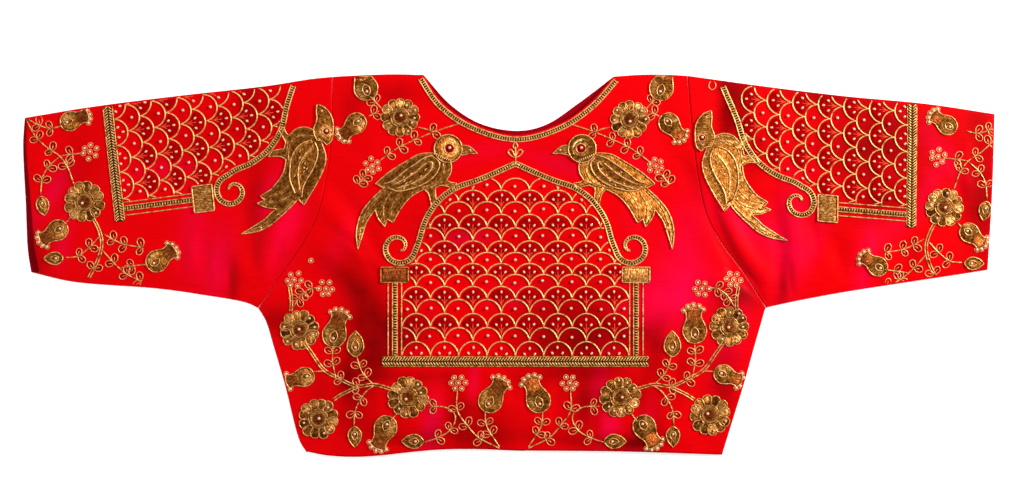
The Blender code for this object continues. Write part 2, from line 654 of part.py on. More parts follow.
def arch_border(halves, scroll_centre, from_x):
    """The arch's border from near its apex down one side, or from scroll to scroll over both."""
    turns = np.radians(SCROLL_FROM_DEG + SCROLL_TURN_DEG * np.linspace(0, 1, 17))
    share = np.linspace(0, 1, len(turns))
    radius = SCROLL_RADIUS * (1 - 0.8 * share**1.6)
    scroll = np.stack([np.cos(turns), np.sin(turns)], axis=1) * radius[:, None] + scroll_centre
    curve = smooth_line(ARCH_CURVE + [tuple(scroll[0])])
    curve = curve[curve[:, 0] >= from_x]
    half = np.vstack([along(curve, np.linspace(0, 1, 16)), scroll[1:]])
    width = np.concatenate([np.ones(16), 1 - 0.62 * share[1:] ** 4]) * BORDER_WIDTH
    if len(halves) == 1:
        return half * (halves[0], 1), width
    return np.vstack([half[::-1] * (-1, 1), half[1:]]), np.concatenate([width[::-1], width[1:]])


def oblong(length, width, columns):
    """A straight band's plan points, lying along x."""
    x = np.linspace(-length / 2, length / 2, columns)
    return np.stack([np.stack([x, np.full(columns, s * width / 2)], axis=1) for s in (1, -1)], axis=1)


GOLD = (ZARI_GOLD, 0.8, 0.38)


def arch(name, panels):
    """One arch: base bar, columns, blocks and the scrolled border."""
    panel, x, y, turn_deg, scale, rise, lean, block_width, bar_from, border_from, halves = ARCHES[name]
    host = panels[panel]

    def on_panel(points):
        p = np.array(points, float)
        p[..., 1] *= rise
        p[..., 0] += lean * p[..., 1]
        return placed(p, x, y, turn_deg, scale)

    scroll_centre = (SCROLL_X, ARCH_BLOCK_Y + block_width / 2 + SCROLL_ABOVE_BLOCK)
    border, width = arch_border(halves, scroll_centre, border_from)
    object_from(f"arch_border_{name}", band(host, on_panel(border), width), *GOLD)
    length = (ARCH_HALF_BASE - bar_from) * len(halves)
    base = oblong(length, BAR_WIDTH, 2 + int(length / 12))
    if len(halves) == 1:
        base[..., 0] += halves[0] * (ARCH_HALF_BASE + bar_from) / 2
    object_from(f"arch_base_{name}", pad(host, on_panel(base), PAD), *GOLD)
    column_top = ARCH_BLOCK_Y - block_width / 2 - PAD_LIFT
    column_foot = BAR_WIDTH / 2 + PAD_LIFT
    for half in halves:
        ending = "" if len(halves) == 1 else "_left" if half < 0 else "_right"
        upright = oblong(column_top - column_foot, COLUMN_WIDTH, 7)[..., ::-1]
        upright = upright + (half * ARCH_COLUMN_X, (column_top + column_foot) / 2)
        object_from(f"arch_column_{name}{ending}", pad(host, on_panel(upright), PAD), *GOLD)
        block = oblong(BLOCK_LENGTH, block_width, 4) + (half * ARCH_COLUMN_X, ARCH_BLOCK_Y)
        object_from(f"arch_block_{name}{ending}", pad(host, on_panel(block), PAD + BLOCK_RISE), *GOLD)


def goldwork(panels):
    """The thick gold embroidery on the back and the sleeves."""
    trim = along(smooth_line(BACK_NECK), np.linspace(0.03, 0.97, 27))
    trim = trim - outward(trim, np.array([CENTRE_X, 0.0])) * (TRIM_WIDTH / 2 + 1)
    object_from("neck_trim", band(panels["back"], trim, TRIM_WIDTH), *GOLD)
    for name in ARCHES:
        arch(name, panels)
    spine = np.array(BIRD_SPINE)
    for name, (panel, x, y, turn_deg, side) in BIRDS.items():
        line = placed(spine[:, :2], x, y, turn_deg, side=side)
        object_from(f"bird_{name}", padded_shape(panels[panel], line, spine[:, 2], 1.5), *GOLD)
    for name, (panel, x, y, radius) in FLOWERS.items():
        object_from(f"flower_{name}", flower(panels[panel], x, y, radius), *GOLD)
    profile = np.array(BUD_PROFILE)
    for name, (panel, x, y, turn_deg, scale) in BUDS.items():
        line = placed(np.stack([profile[:, 0], np.zeros(len(profile))], axis=1), x, y, turn_deg, scale)
        shape = padded_shape(panels[panel], line, profile[:, 1] * scale, 1.4)
        object_from(f"bud_{name}", shape, *GOLD)


def hooks():
    """Flat steel hooks between the two fronts' hook bands."""
    foot, top = HEM[3][1] + 14, FRONT_NECK_Y - 12
    for i in range(HOOK_COUNT):
        mesh = bmesh.new()
        bmesh.ops.create_cube(mesh, size=1)
        bmesh.ops.scale(mesh, vec=[s * MM for s in HOOK_SIZE], verts=mesh.verts)
        upright = [e for e in mesh.edges if abs(e.verts[0].co.z - e.verts[1].co.z) > HOOK_SIZE[2] * MM / 2]
        bmesh.ops.bevel(mesh, geom=upright, offset=1.5 * MM, segments=1, affect="EDGES")
        place = (CENTRE_X, foot + (top - foot) * i / (HOOK_COUNT - 1), CLOTH + SEAM + HOOK_SIZE[2] / 2)
        bmesh.ops.translate(mesh, vec=[c * MM for c in place], verts=mesh.verts)
        object_from(f"hook_{i + 1}", mesh, HOOK_STEEL, 1.0, 0.3)


for old in list(bpy.data.objects):
    bpy.data.objects.remove(old, do_unlink=True)
root = bpy.data.objects.new("choli_blouse", None)
bpy.context.scene.collection.objects.link(root)

SILK = (SILK_RED, 0.0, 0.45)
cloth = {"back": back_panel(), "sleeve_left": sleeve("left"), "sleeve_right": sleeve("right")}
upper_faces = {name: BVHTree.FromBMesh(mesh) for name, mesh in cloth.items()}
object_from("back_panel", cloth["back"], *SILK)
object_from("sleeve_left", cloth["sleeve_left"], *SILK)
object_from("sleeve_right", cloth["sleeve_right"], *SILK)
object_from("front_left", front_panel("left"), *SILK)
object_from("front_right", front_panel("right"), *SILK)
hooks()
goldwork(upper_faces)

# The origin is the middle of the blouse's foot
bpy.context.view_layer.update()
pieces = root.children
spots = np.array([piece.matrix_world @ v.co for piece in pieces for v in piece.data.vertices])
middle = (spots.min(axis=0) + spots.max(axis=0)) / 2
for piece in pieces:
    piece.location.x -= middle[0]
    piece.location.y -= middle[1]
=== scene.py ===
"""A red choli blouse with gold embroidery, laid flat on a table with its back upwards.

Plan sizes are in millimetres: x runs from cuff to cuff, y from the hem to the neck, z up off the table.
"""

import math

import bmesh
import bpy
import numpy as np
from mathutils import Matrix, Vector
from mathutils.geometry import delaunay_2d_cdt


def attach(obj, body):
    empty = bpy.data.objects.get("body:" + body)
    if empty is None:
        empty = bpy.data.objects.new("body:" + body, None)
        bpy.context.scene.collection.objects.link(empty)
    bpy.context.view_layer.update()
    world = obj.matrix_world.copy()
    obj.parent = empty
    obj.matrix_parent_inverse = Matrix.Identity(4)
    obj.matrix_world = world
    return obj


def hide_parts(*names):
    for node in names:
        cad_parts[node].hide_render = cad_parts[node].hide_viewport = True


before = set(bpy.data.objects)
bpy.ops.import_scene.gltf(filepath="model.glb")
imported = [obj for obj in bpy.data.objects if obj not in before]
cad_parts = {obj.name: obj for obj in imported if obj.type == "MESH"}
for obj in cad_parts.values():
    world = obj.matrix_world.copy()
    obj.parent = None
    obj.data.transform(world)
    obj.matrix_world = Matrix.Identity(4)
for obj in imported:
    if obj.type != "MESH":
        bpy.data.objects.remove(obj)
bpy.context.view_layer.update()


# BACK
# One panel of red art silk cut on the fold, its sides and shoulders pressed over, its neck and hem
# turned in. It lies loosely on the two fronts, so it rises a little between them and creases at the
# armholes, where the sleeves pull on it.

# The middle of the back, and what is added to the plan so that it lies on the solids
CENTRE_X = 6.0
SHIFT = (-0.08, 0.15)
# The silk's thickness, the height of the two layers pressed flat, the rounding of the body's pressed edges
# and of the sleeves' folds, and the seam between a sleeve and the body
CLOTH = 0.8
STACK = 3.0
PANEL_ROLL = 1.35
SLEEVE_ROLL = 1.5
SEAM = 0.3

SHOULDER = {"left": (-168, 180), "right": (170, 181)}
NECK_CORNER = {"left": (-81.5, 181.8), "right": (100, 180.2)}
UNDERARM = {"left": (-239, -41), "right": (245, -40.5)}
HEM_CORNER = {"left": (-193, -178.5), "right": (203.5, -181)}
CUFF_TOP = {"left": (-462.5, 141), "right": (464, 144.5)}
CUFF_FOOT = {"left": (-456.5, -7.2), "right": (457.4, -4.3)}
HEM = [
    HEM_CORNER["left"],
    (-174, -182),
    (-140, -183),
    (-62, -176),
    (22, -177),
    (115, -178),
    HEM_CORNER["right"],
]
SIDE = {
    "left": [HEM_CORNER["left"], (-199.5, -168), (-214, -113), (-224, -79), (-232, -53), UNDERARM["left"]],
    "right": [HEM_CORNER["right"], (214, -147), (224.5, -113), (234, -79), UNDERARM["right"]],
}
ARMHOLE_CURVE = {
    "left": [(-217, -9), (-197, 20), (-182.5, 48), (-175, 77), (-169.5, 115)],
    "right": [(225, -9), (203.5, 20), (188.5, 48), (181.5, 77), (176, 115)],
}
ARMHOLE = {side: [UNDERARM[side], *ARMHOLE_CURVE[side], SHOULDER[side]] for side in ("left", "right")}
SHOULDER_TOP = {
    "left": [SHOULDER["left"], (-146, 181.2), (-110, 182.4), NECK_CORNER["left"]],
    "right": [NECK_CORNER["right"], (126, 182), (150, 182), SHOULDER["right"]],
}
BACK_NECK = [
    NECK_CORNER["left"],
    (-63.5, 155.7),
    (-34, 135.3),
    (8.5, 124.2),
    (50, 136),
    (78, 155.7),
    NECK_CORNER["right"],
]
SLEEVE_TOP = {
    "left": [SHOULDER["left"], (-188, 178), (-230, 171.4), (-314, 162), (-398, 151.4), CUFF_TOP["left"]],
    "right": [SHOULDER["right"], (190, 178.2), (232, 172.4), (316, 162), (400, 154), CUFF_TOP["right"]],
}
SLEEVE_FOOT = {
    "left": [UNDERARM["left"], (-250, -36), (-293, -28.2), (-335, -22.4), (-419, -15.6), CUFF_FOOT["left"]],
    "right": [UNDERARM["right"], (275, -34), (316, -26.3), (358, -19.6), (421, -10), CUFF_FOOT["right"]],
}

# How high the cloth lofts and how far in from a pressed edge it gets there, how far in its creases are
# held flat, and how much deeper they are than listed
LOFT, LOFT_REACH, FOLD_REACH, CREASE_DEPTH = 2.6, 22, 8, 1.3
# The back is held up over the hook band: how high, how far to each side, and how far it slopes off
BAND_RISE, BAND_HALF, BAND_SLOPE = 2.35, 44, 14
# Creases: where each runs from and to, how far it bows sideways, half its width, and its height
CREASES = (
    # main folds at the right armhole and underarm
    (186, 62, 241, -33, 6, 6, -1.7),
    (200, 66, 250, -22, 6, 9, 2.4),
    (206, 2, 240, -27, -3, 6, -1.4),
    (192, -10, 226, -46, -3, 9, 1.6),
    (252, 70, 257, -28, -3, 8, -1.6),
    (266, 62, 272, -26, -3, 10, 1.9),
    (312, 30, 322, -18, 3, 9, -1.1),
    (340, 34, 350, -14, 3, 11, 1.3),
    # main folds at the left armhole and underarm
    (-176, 88, -120, 2, -5, 8, -1.3),
    (-186, 70, -130, -22, -6, 10, 1.8),
    (-180, 58, -236, -30, 6, 8, -1.3),
    (-205, 62, -246, -20, 4, 10, 2.1),
    (-244, 40, -238, -26, 2, 7, -1.5),
    (-262, 52, -258, -20, 3, 10, 1.7),
    (-282, 20, -292, -22, 3, 8, -1.0),
    # main folds above the hem and at the waist
    (-70, -102, -64, -176, 3, 8, 1.2),
    (-40, -104, -46, -174, -3, 8, 1.3),
    (62, -106, 58, -174, 3, 9, 1.2),
    (138, -60, 132, -150, -5, 9, -1.1),
    (148, -64, 146, -160, -4, 10, 1.4),
    # small ones, right
    (205, 0, 246, -37, -2, 2.6, -1.1),
    (189, 70, 246, -37, 5, 2.8, -0.9),
    (269, 4, 271, -31, 2, 3.0, -1.0),
    (287, 44, 292, 10, -2, 4.0, -0.5),
    (202, 168, 200, 118, 3, 9, -0.8),
    (216, 170, 214, 130, 3, 8, 0.6),
    (170, 60, 190, 30, 4, 9, 0.5),
    (112, 0, 200, -14, 6, 12, 0.6),
    (128, -28, 205, -34, -5, 9, -0.5),
    (163, 78, 176, 92, 2, 7, -0.5),
    (330, -6, 338, 30, 2, 4, -0.5),
    (388, 28, 396, -8, -3, 5, 0.6),
    (362, 22, 358, -18, 2, 6, 0.5),
    (436, 128, 440, 60, 3, 6, 0.5),
    (425, 96, 430, 40, -3, 5, -0.4),
    # small ones, left
    (-178, 40, -122, -13, -7, 3.0, -0.8),
    (-163, 18, -118, -8, -4, 5, 0.7),
    (-130, -14, -118, -70, 4, 9, -0.9),
    (-158, -20, -146, -62, 5, 9, 0.7),
    (-265, 9, -264, -28, 2, 2.8, -1.0),
    (-243, 96, -246, 28, 4, 8, -1.1),
    (-296, 44, -300, -8, 4, 5, 0.7),
    (-277, 26, -282, -12, 3, 4, 0.6),
    (-308, 30, -312, -14, 3, 4, -0.6),
    (-330, 26, -334, -10, 2, 7, 0.5),
    (-350, 18, -356, -16, -3, 5, -0.5),
    (-200, 40, -216, 4, 3, 4, 0.7),
    (-372, 6, -374, -18, 2, 4, 0.4),
    (-446, 120, -448, 70, 3, 6, 0.5),
    (-436, 60, -440, 10, -2, 6, -0.4),
    # small ones, middle and hem
    (-86, -98, -82, -150, 2, 4, -0.7),
    (-24, -98, -20, -172, 3, 4, -0.7),
    (-8, -104, -2, -150, -2, 5, 0.5),
    (20, -98, 16, -176, 3, 4, -0.6),
    (38, -102, 34, -170, -2, 5, 0.6),
    (84, -98, 82, -174, 2, 4, -0.7),
    (100, -102, 98, -172, -2, 5, 0.4),
    (-120, -104, -112, -174, 3, 5, -0.6),
    (-136, -96, -134, -170, 3, 6, 0.4),
    (128, -98, 124, -176, 2, 4, -0.5),
    (170, -70, 164, -150, 4, 8, 0.5),
    (184, -84, 180, -160, 3, 6, -0.4),
    (-180, -84, -172, -160, -3, 7, 0.5),
    (-165, -66, -158, -140, 3, 6, -0.4),
    (-56, -18, -20, -22, 3, 5, -0.4),
    (10, -16, 34, -20, -2, 4, -0.6),
    (14, -9, 40, -11, -2, 4, 0.5),
    (60, -20, 84, -30, 3, 5, -0.5),
    (-30, 60, 20, 66, 3, 9, 0.3),
    (40, 40, 70, 20, 3, 8, -0.3),
    (-72, 30, -50, -6, 3, 8, -0.3),
    (-120, 128, -132, 96, 3, 8, 0.4),
    (-150, 150, -158, 104, 3, 8, -0.4),
    (124, 118, 150, 100, 3, 7, 0.4),
    (142, 160, 150, 120, -3, 8, -0.4),
)


def smooth_line(points, steps=16):
    """Plan points along a smooth curve through a few given ones."""
    p = np.array(points, float)
    p = np.vstack([2 * p[0] - p[1], p, 2 * p[-1] - p[-2]])
    knots = np.concatenate([[0], np.cumsum(np.sqrt(np.linalg.norm(np.diff(p, axis=0), axis=1)))])
    line = []
    for i in range(1, len(p) - 2):
        t0, t1, t2, t3 = knots[i - 1 : i + 3]
        t = np.linspace(t1, t2, steps, endpoint=False)[:, None]
        a1 = (t1 - t) / (t1 - t0) * p[i - 1] + (t - t0) / (t1 - t0) * p[i]
        a2 = (t2 - t) / (t2 - t1) * p[i] + (t - t1) / (t2 - t1) * p[i + 1]
        a3 = (t3 - t) / (t3 - t2) * p[i + 1] + (t - t2) / (t3 - t2) * p[i + 2]
        b1 = (t2 - t) / (t2 - t0) * a1 + (t - t0) / (t2 - t0) * a2
        b2 = (t3 - t) / (t3 - t1) * a2 + (t - t1) / (t3 - t1) * a3
        line.append((t2 - t) / (t2 - t1) * b1 + (t - t1) / (t2 - t1) * b2)
    return np.vstack([*line, p[-2:-1]])


def line_length(line):
    return np.linalg.norm(np.diff(line, axis=0), axis=1).sum()


def along(line, shares):
    """Points at these shares of a line's length."""
    length = np.concatenate([[0], np.cumsum(np.linalg.norm(np.diff(line, axis=0), axis=1))])
    at = np.asarray(shares) * length[-1]
    return np.stack([np.interp(at, length, line[:, k]) for k in range(line.shape[1])], axis=1)


def outward(points, inside):
    """Unit normals of a row of plan points, turned away from a point inside the panel."""
    step = np.gradient(points, axis=0)
    normal = np.stack([step[:, 1], -step[:, 0]], axis=1)
    normal /= np.linalg.norm(normal, axis=1)[:, None]
    away = ((points - inside) * normal).sum(axis=1) > 0
    return np.where(away[:, None], normal, -normal)


def pinned(points, start, end):
    """The same row of points, eased over so that its ends are where two edges meet."""
    share = np.linspace(0, 1, len(points))[:, None]
    return points + (1 - share) * (start - points[0]) + share * (end - points[-1])


def blended(foot, top, left, right, across=None):
    """A grid of plan points that fills four edges; rows run from foot to top."""
    u = (np.linspace(0, 1, len(foot)) if across is None else across)[None, :, None]
    v = np.linspace(0, 1, len(left))[:, None, None]
    corners = (1 - v) * ((1 - u) * foot[0] + u * foot[-1]) + v * ((1 - u) * top[0] + u * top[-1])
    return (1 - v) * foot[None] + v * top[None] + (1 - u) * left[:, None] + u * right[:, None] - corners


def distance_to(line, points):
    """Distance from each plan point to a line, and how far along the line its nearest point is."""
    a, b = line[:-1], line[1:]
    step = b - a
    flat = points.reshape(-1, 2)
    gaps, shares = [], []
    for block in np.array_split(flat, 1 + len(flat) // 8000):
        rel = block[:, None, :] - a[None]
        t = np.clip((rel * step).sum(axis=2) / np.maximum((step**2).sum(axis=1), 1e-9), 0, 1)
        gap = np.linalg.norm(rel - t[:, :, None] * step, axis=2)
        nearest = gap.argmin(axis=1)
        row = np.arange(len(block))
        gaps.append(gap[row, nearest])
        shares.append((nearest + t[row, nearest]) / len(a))
    shape = points.shape[:-1]
    return np.concatenate(gaps).reshape(shape), np.concatenate(shares).reshape(shape)


def crease_line(start, end, bow):
    """The line that a crease runs along, bowed sideways in its middle."""
    start, end = np.array(start, float), np.array(end, float)
    across = np.array([end[1] - start[1], start[0] - end[0]]) / np.linalg.norm(end - start)
    return smooth_line([start, (start + end) / 2 + across * bow, end], 8)


PRESSED = (SIDE, SHOULDER_TOP, SLEEVE_TOP, SLEEVE_FOOT)
PRESSED_EDGES = [smooth_line(edge[side], 8) for edge in PRESSED for side in ("left", "right")]
CREASE_LINES = [
    (crease_line((from_x, from_y), (to_x, to_y), bow), half_width, height)
    for from_x, from_y, to_x, to_y, bow, half_width, height in CREASES
]
# The left sleeve is folded a little off its underarm seam, which shows as a groove along its foot
UNDERARM_SEAM = smooth_line([(-245, -32.5), (-293, -22.6), (-335, -17.6), (-376, -14.8), (-430, -13.4)], 8)
GROOVE_DEPTH, GROOVE_HALF = 0.8, 1.1


def surface(points):
    """Height of the upper layer's outer face at plan points, in millimetres."""
    points = np.asarray(points, float)
    flat = points.reshape(-1, 2)
    from_edge = np.min([distance_to(edge, flat)[0] for edge in PRESSED_EDGES], axis=0)
    from_edge = np.maximum(0, from_edge - SLEEVE_ROLL)
    rise = LOFT * (1 - np.exp(-from_edge / LOFT_REACH))
    near_edge = 1 - np.exp(-from_edge / FOLD_REACH)
    for line, half_width, height in CREASE_LINES:
        low, high = line.min(axis=0) - 3 * half_width, line.max(axis=0) + 3 * half_width
        near = ((flat > low) & (flat < high)).all(axis=1)
        if near.any():
            gap, share = distance_to(line, flat[near])
            bump = CREASE_DEPTH * height * np.exp(-((gap / half_width) ** 2)) * np.sin(np.pi * share) ** 0.7
            rise[near] += near_edge[near] * bump
    x, y = flat[:, 0], flat[:, 1]
    # The slight unevenness of cloth that has been worn and folded
    rise += near_edge * 0.16 * np.sin(x / 11 + 2.1 * np.sin(y / 31)) * np.sin(y / 17 + 1.3 * np.sin(x / 43))
    rise += near_edge * 0.09 * np.sin(x / 5.3 + y / 9.1 + 1.7 * np.sin(y / 14))
    gap, _ = distance_to(UNDERARM_SEAM, flat)
    rise -= GROOVE_DEPTH * np.exp(-((gap / GROOVE_HALF) ** 2))
    held = BAND_RISE * np.clip((BAND_HALF - np.abs(x - CENTRE_X)) / BAND_SLOPE, 0, 1) * near_edge
    return (STACK + np.maximum(np.maximum(rise, held), -0.3)).reshape(points.shape[:-1])


def grid_faces(rows, columns, wrap=False):
    """Corner indices of the quads of a grid of points, row by row."""
    i, j = np.meshgrid(np.arange(rows - 1), np.arange(columns if wrap else columns - 1), indexing="ij")
    row, k = i * columns, (j + 1) % columns
    return np.stack([row + j, row + k, row + columns + k, row + columns + j], axis=-1).reshape(-1, 4)


def mesh_object(name, points, polygons, materials):
    """A named object from points in millimetres and arrays of faces of one size each."""
    mesh = bpy.data.meshes.new(name)
    points = np.asarray(points, float).reshape(-1, 3) + (*SHIFT, 0)
    corners = np.concatenate([p.reshape(-1) for p in polygons])
    sizes = np.concatenate([np.full(len(p), p.shape[1]) for p in polygons])
    mesh.vertices.add(len(points))
    mesh.vertices.foreach_set("co", (points * 0.001).ravel())
    mesh.loops.add(len(corners))
    mesh.loops.foreach_set("vertex_index", corners.astype(np.int32))
    mesh.polygons.add(len(sizes))
    mesh.polygons.foreach_set("loop_start", np.concatenate([[0], np.cumsum(sizes)[:-1]]).astype(np.int32))
    mesh.update(calc_edges=True)
    mesh.validate()
    mesh.polygons.foreach_set("use_smooth", np.full(len(mesh.polygons), True))
    for material in materials:
        mesh.materials.append(material)
    obj = bpy.data.objects.new(name, mesh)
    bpy.context.scene.collection.objects.link(obj)
    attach(obj, "root")
    return obj


def cloth_wall(name, outer, inner, wrap=False):
    """A thin closed wall of silk between two grids of points, with painted shade on its inner face."""
    rows, columns = outer.shape[:2]
    count = rows * columns
    face = grid_faces(rows, columns, wrap)
    back = face[:, ::-1] + count
    rims = [np.arange(columns), (rows - 1) * columns + np.arange(columns)]
    if wrap:
        rims = [np.append(r, r[0]) for r in rims]
    else:
        rims += [np.arange(rows) * columns, np.arange(rows) * columns + columns - 1]
    edges = [np.stack([r[:-1], r[1:], r[1:] + count, r[:-1] + count], axis=1) for r in rims]
    points = np.concatenate([outer.reshape(-1, 3), inner.reshape(-1, 3)])
    obj = mesh_object(name, points, [face, back, *edges], [RED_SILK, SHADED_SILK_INSIDE])
    inside = np.zeros(len(obj.data.polygons), np.int32)
    inside[len(face) : 2 * len(face)] = 1
    obj.data.polygons.foreach_set("material_index", inside)
    work = bmesh.new()
    work.from_mesh(obj.data)
    bmesh.ops.recalc_face_normals(work, faces=work.faces)
    work.to_mesh(obj.data)
    work.free()
    shade_cloth(obj)
    return obj


def rolled_grid(flat, edges, rolls, top, top_roll, height, faces_up, steps=6):
    """Outer and inner points of a panel whose sides and top roll round towards the layer it is sewn to.

    edges holds the left and right edges' outward normals, top the top edge's, and the rolls are the
    angles, in degrees, that each edge turns through at each point.
    """
    rows, columns = flat.shape[:2]
    turns = [k / steps for k in range(steps, 0, -1)]
    column_of = np.array([0] * steps + list(range(columns)) + [columns - 1] * steps)
    row_of = np.array(list(range(rows)) + [rows - 1] * steps)
    side_turn = np.array(turns + [0] * columns + turns[::-1])
    top_turn = np.array([0] * rows + turns[::-1])
    is_left = np.arange(len(column_of)) < steps
    side_normal = np.where(is_left[None, :, None], edges[0][row_of][:, None], edges[1][row_of][:, None])
    side_angle = np.where(is_left[None, :], rolls[0][row_of][:, None], rolls[1][row_of][:, None])
    angle_u = np.radians(side_angle * side_turn[None, :])
    angle_v = np.radians(top_roll[column_of][None, :] * top_turn[:, None])
    shift = side_normal * np.sin(angle_u)[..., None] + top[column_of][None] * np.sin(angle_v)[..., None]
    drop = np.cos(angle_u) * np.cos(angle_v)
    place, level = flat[row_of][:, column_of], height[row_of][:, column_of]
    skins = []
    for radius, face in ((PANEL_ROLL, 0), (PANEL_ROLL - CLOTH, CLOTH)):
        depth = face + radius * (1 - drop)
        z = level - depth if faces_up else level + depth
        skins.append(np.concatenate([place + shift * radius, z[..., None]], axis=-1))
    return skins


ARMHOLE_ROWS = 98
# How far round, in degrees, a pressed edge and a turned-in one roll under
PRESSED_ROLL, TURNED_IN_ROLL = 90.0, 35.0


def armhole_points(side, rows):
    """The armhole from the underarm up, ending where the shoulder's pressed edge starts."""
    line = smooth_line(ARMHOLE[side])
    points = along(line, np.linspace(0, 1 - PANEL_ROLL / line_length(line), ARMHOLE_ROWS + 1))
    return points[:: ARMHOLE_ROWS // rows]


def torso_grid(side_rows, armhole_rows, top_edge, top_turn, left, right, foot, across=None):
    """The flat part of a body panel: its plan points, edge normals and roll angles."""
    middle = np.array([CENTRE_X, 0.0])
    sides = []
    for name, line in (("left", left), ("right", right)):
        if line is not None:
            sides.append((line, np.zeros(len(line)), np.zeros((len(line), 2))))
            continue
        lower = along(smooth_line(SIDE[name]), np.linspace(0, 1, side_rows + 1))
        upper = armhole_points(name, armhole_rows)[1:]
        turn = np.array([PRESSED_ROLL] * side_rows + [TURNED_IN_ROLL] * (armhole_rows + 1))
        normal = np.vstack([outward(lower, middle)[:-1], outward(np.vstack([lower[-1:], upper]), middle)])
        sides.append((np.vstack([lower, upper]), turn, normal))
    top_normal = outward(top_edge, middle)
    (left_edge, left_turn, left_normal), (right_edge, right_turn, right_normal) = sides

    def inset(edge, normal, turn):
        return edge - normal * (PANEL_ROLL * np.sin(np.radians(turn)))[:, None]

    left_in, right_in = inset(left_edge, left_normal, left_turn), inset(right_edge, right_normal, right_turn)
    top_in = inset(top_edge, top_normal, top_turn)
    corner_left = np.array([left_in[-1, 0], top_in[0, 1]])
    corner_right = np.array([right_in[-1, 0], top_in[-1, 1]])
    left_in[-1] = top_in[0] = corner_left
    right_in[-1] = top_in[-1] = corner_right
    grid = blended(pinned(foot, left_in[0], right_in[0]), top_in, left_in, right_in, across)
    return grid, (left_normal, right_normal), (left_turn, right_turn), top_normal


# The silk is shot, red across pink, and catches the light in pinkish patches. These are painted sheen,
# where it turns pinkish: x and y, how far each reaches along and across, its turn in degrees, its strength
PAINTED_PINK_SHEEN = (
    (166, 14, 46, 20, 80, 0.5),
    (150, -30, 40, 24, 30, 0.9),
    (232, 38, 34, 14, -40, 0.7),
    (214, -60, 40, 14, 75, 0.5),
    (-160, 22, 30, 9, 66, 0.2),
    (-212, 34, 34, 12, 70, 0.6),
    (-300, 26, 40, 14, 86, 0.4),
    (-276, 0, 34, 12, 80, 0.6),
    (-228, 66, 26, 10, 70, 0.5),
    (-30, 108, 40, 9, 12, 0.2),
    (50, 96, 30, 8, -20, 0.4),
    (86, -110, 24, 8, 80, 0.5),
    (-34, -112, 16, 5, 84, 0.6),
    (-74, -152, 26, 9, 84, 0.7),
    (96, -152, 22, 8, 80, 0.7),
    (126, -160, 24, 8, 70, 0.5),
    (-40, 26, 22, 10, 10, 0.4),
    (-96, -60, 22, 8, 30, 0.3),
    (8, -30, 30, 9, 0, 0.3),
    (270, 30, 50, 16, 86, 0.6),
    (340, 4, 40, 9, 80, 0.6),
    (372, 40, 30, 10, 40, 0.4),
    (410, 108, 34, 10, -50, 0.5),
    (404, 84, 24, 8, 60, 0.4),
    (290, 18, 22, 8, 60, 0.4),
    (-436, 66, 30, 8, 60, 0.5),
    (-424, 26, 24, 7, 80, 0.5),
    (-330, 90, 30, 10, 10, 0.35),
    (124, 62, 50, 14, 88, 0.2),
)
# The same for the painted shade, where the silk is darkened to deep red as if in shadow
PAINTED_SHADE_PATCHES = (
    (-138, -74, 64, 21, 88, 0.95),
    (-160, -10, 34, 12, -40, 0.55),
    (-247, 160, 30, 13, 88, 0.75),
    (-242, 62, 46, 12, 84, 0.5),
    (218, 160, 34, 14, 90, 0.85),
    (206, 120, 36, 8, 88, 0.5),
    (58, -68, 54, 46, 0, 1.0),
    (349, 116, 62, 46, 0, 0.95),
    (450, 76, 80, 20, 90, 0.9),
    (210, 176, 20, 12, 0, 0.6),
    (214, 148, 28, 12, 80, 0.5),
    (234, 106, 22, 12, 80, 0.7),
    (-104, -56, 30, 16, 0, 0.6),
    (-30, -160, 36, 22, 0, 1.0),
    (-121, -157, 24, 14, 0, 0.6),
    (131, -157, 16, 16, 0, 0.6),
    (-52, -111, 14, 12, 0, 0.6),
    (-94, -66, 16, 14, 0, 0.6),
    (204, -112, 48, 14, 88, 0.7),
    (72, -136, 24, 14, 90, 0.7),
    (66, 102, 30, 15, 0, 0.4),
    (290, 164, 46, 14, -6, 0.6),
    (360, 66, 26, 18, 0, 0.7),
    (-110, 163, 26, 12, 0, 0.5),
    (-112, -78, 24, 13, 60, 0.8),
    (-152, -112, 40, 14, 85, 0.6),
    (119, -66, 20, 13, 0, 0.6),
    (119, -124, 18, 14, 0, 0.6),
    (118, -170, 36, 10, 0, 0.8),
    (-41, -134, 16, 12, 0, 0.4),
    (-454, 2, 34, 16, 90, 0.6),
    (-350, 142, 34, 14, -6, 0.4),
    (-220, -52, 22, 14, 0, 0.7),
    (212, -34, 16, 14, 0, 0.6),
    (-228, 142, 30, 14, 88, 0.4),
    (-40, -146, 17, 14, 0, 0.9),
    (138, -84, 34, 9, 78, 0.55),
    (226, -28, 16, 8, -40, 0.7),
    (60, -104, 50, 7, 4, 0.45),
    (-100, -106, 40, 7, 0, 0.5),
    (176, 88, 30, 8, -70, 0.35),
    (300, 60, 60, 34, 0, 0.2),
    (-284, 116, 60, 34, 0, 0.35),
    (-410, 96, 40, 22, 84, 0.3),
    (-150, 150, 26, 14, 80, 0.4),
    (-90, -165, 34, 8, 4, 0.45),
    (40, -165, 46, 8, -4, 0.45),
    (262, -20, 20, 6, 84, 0.6),
    (-262, -16, 22, 5, 86, 0.7),
    (384, 10, 26, 8, 70, 0.35),
    (-46, 40, 44, 24, 10, 0.45),
    (30, 20, 34, 20, 0, 0.4),
    (166, -100, 36, 10, 80, 0.45),
    (-182, -116, 30, 12, 80, 0.4),
)


def patches(table, flat):
    """How strongly a table's patches cover each plan point."""
    total = np.zeros(len(flat))
    for x, y, reach, width, turn_deg, strength in table:
        turn = math.radians(turn_deg)
        dx, dy = flat[:, 0] - x, flat[:, 1] - y
        a = (dx * math.cos(turn) + dy * math.sin(turn)) / reach
        b = (-dx * math.sin(turn) + dy * math.cos(turn)) / width
        total += strength * np.exp(-(a**2) - b**2)
    return total


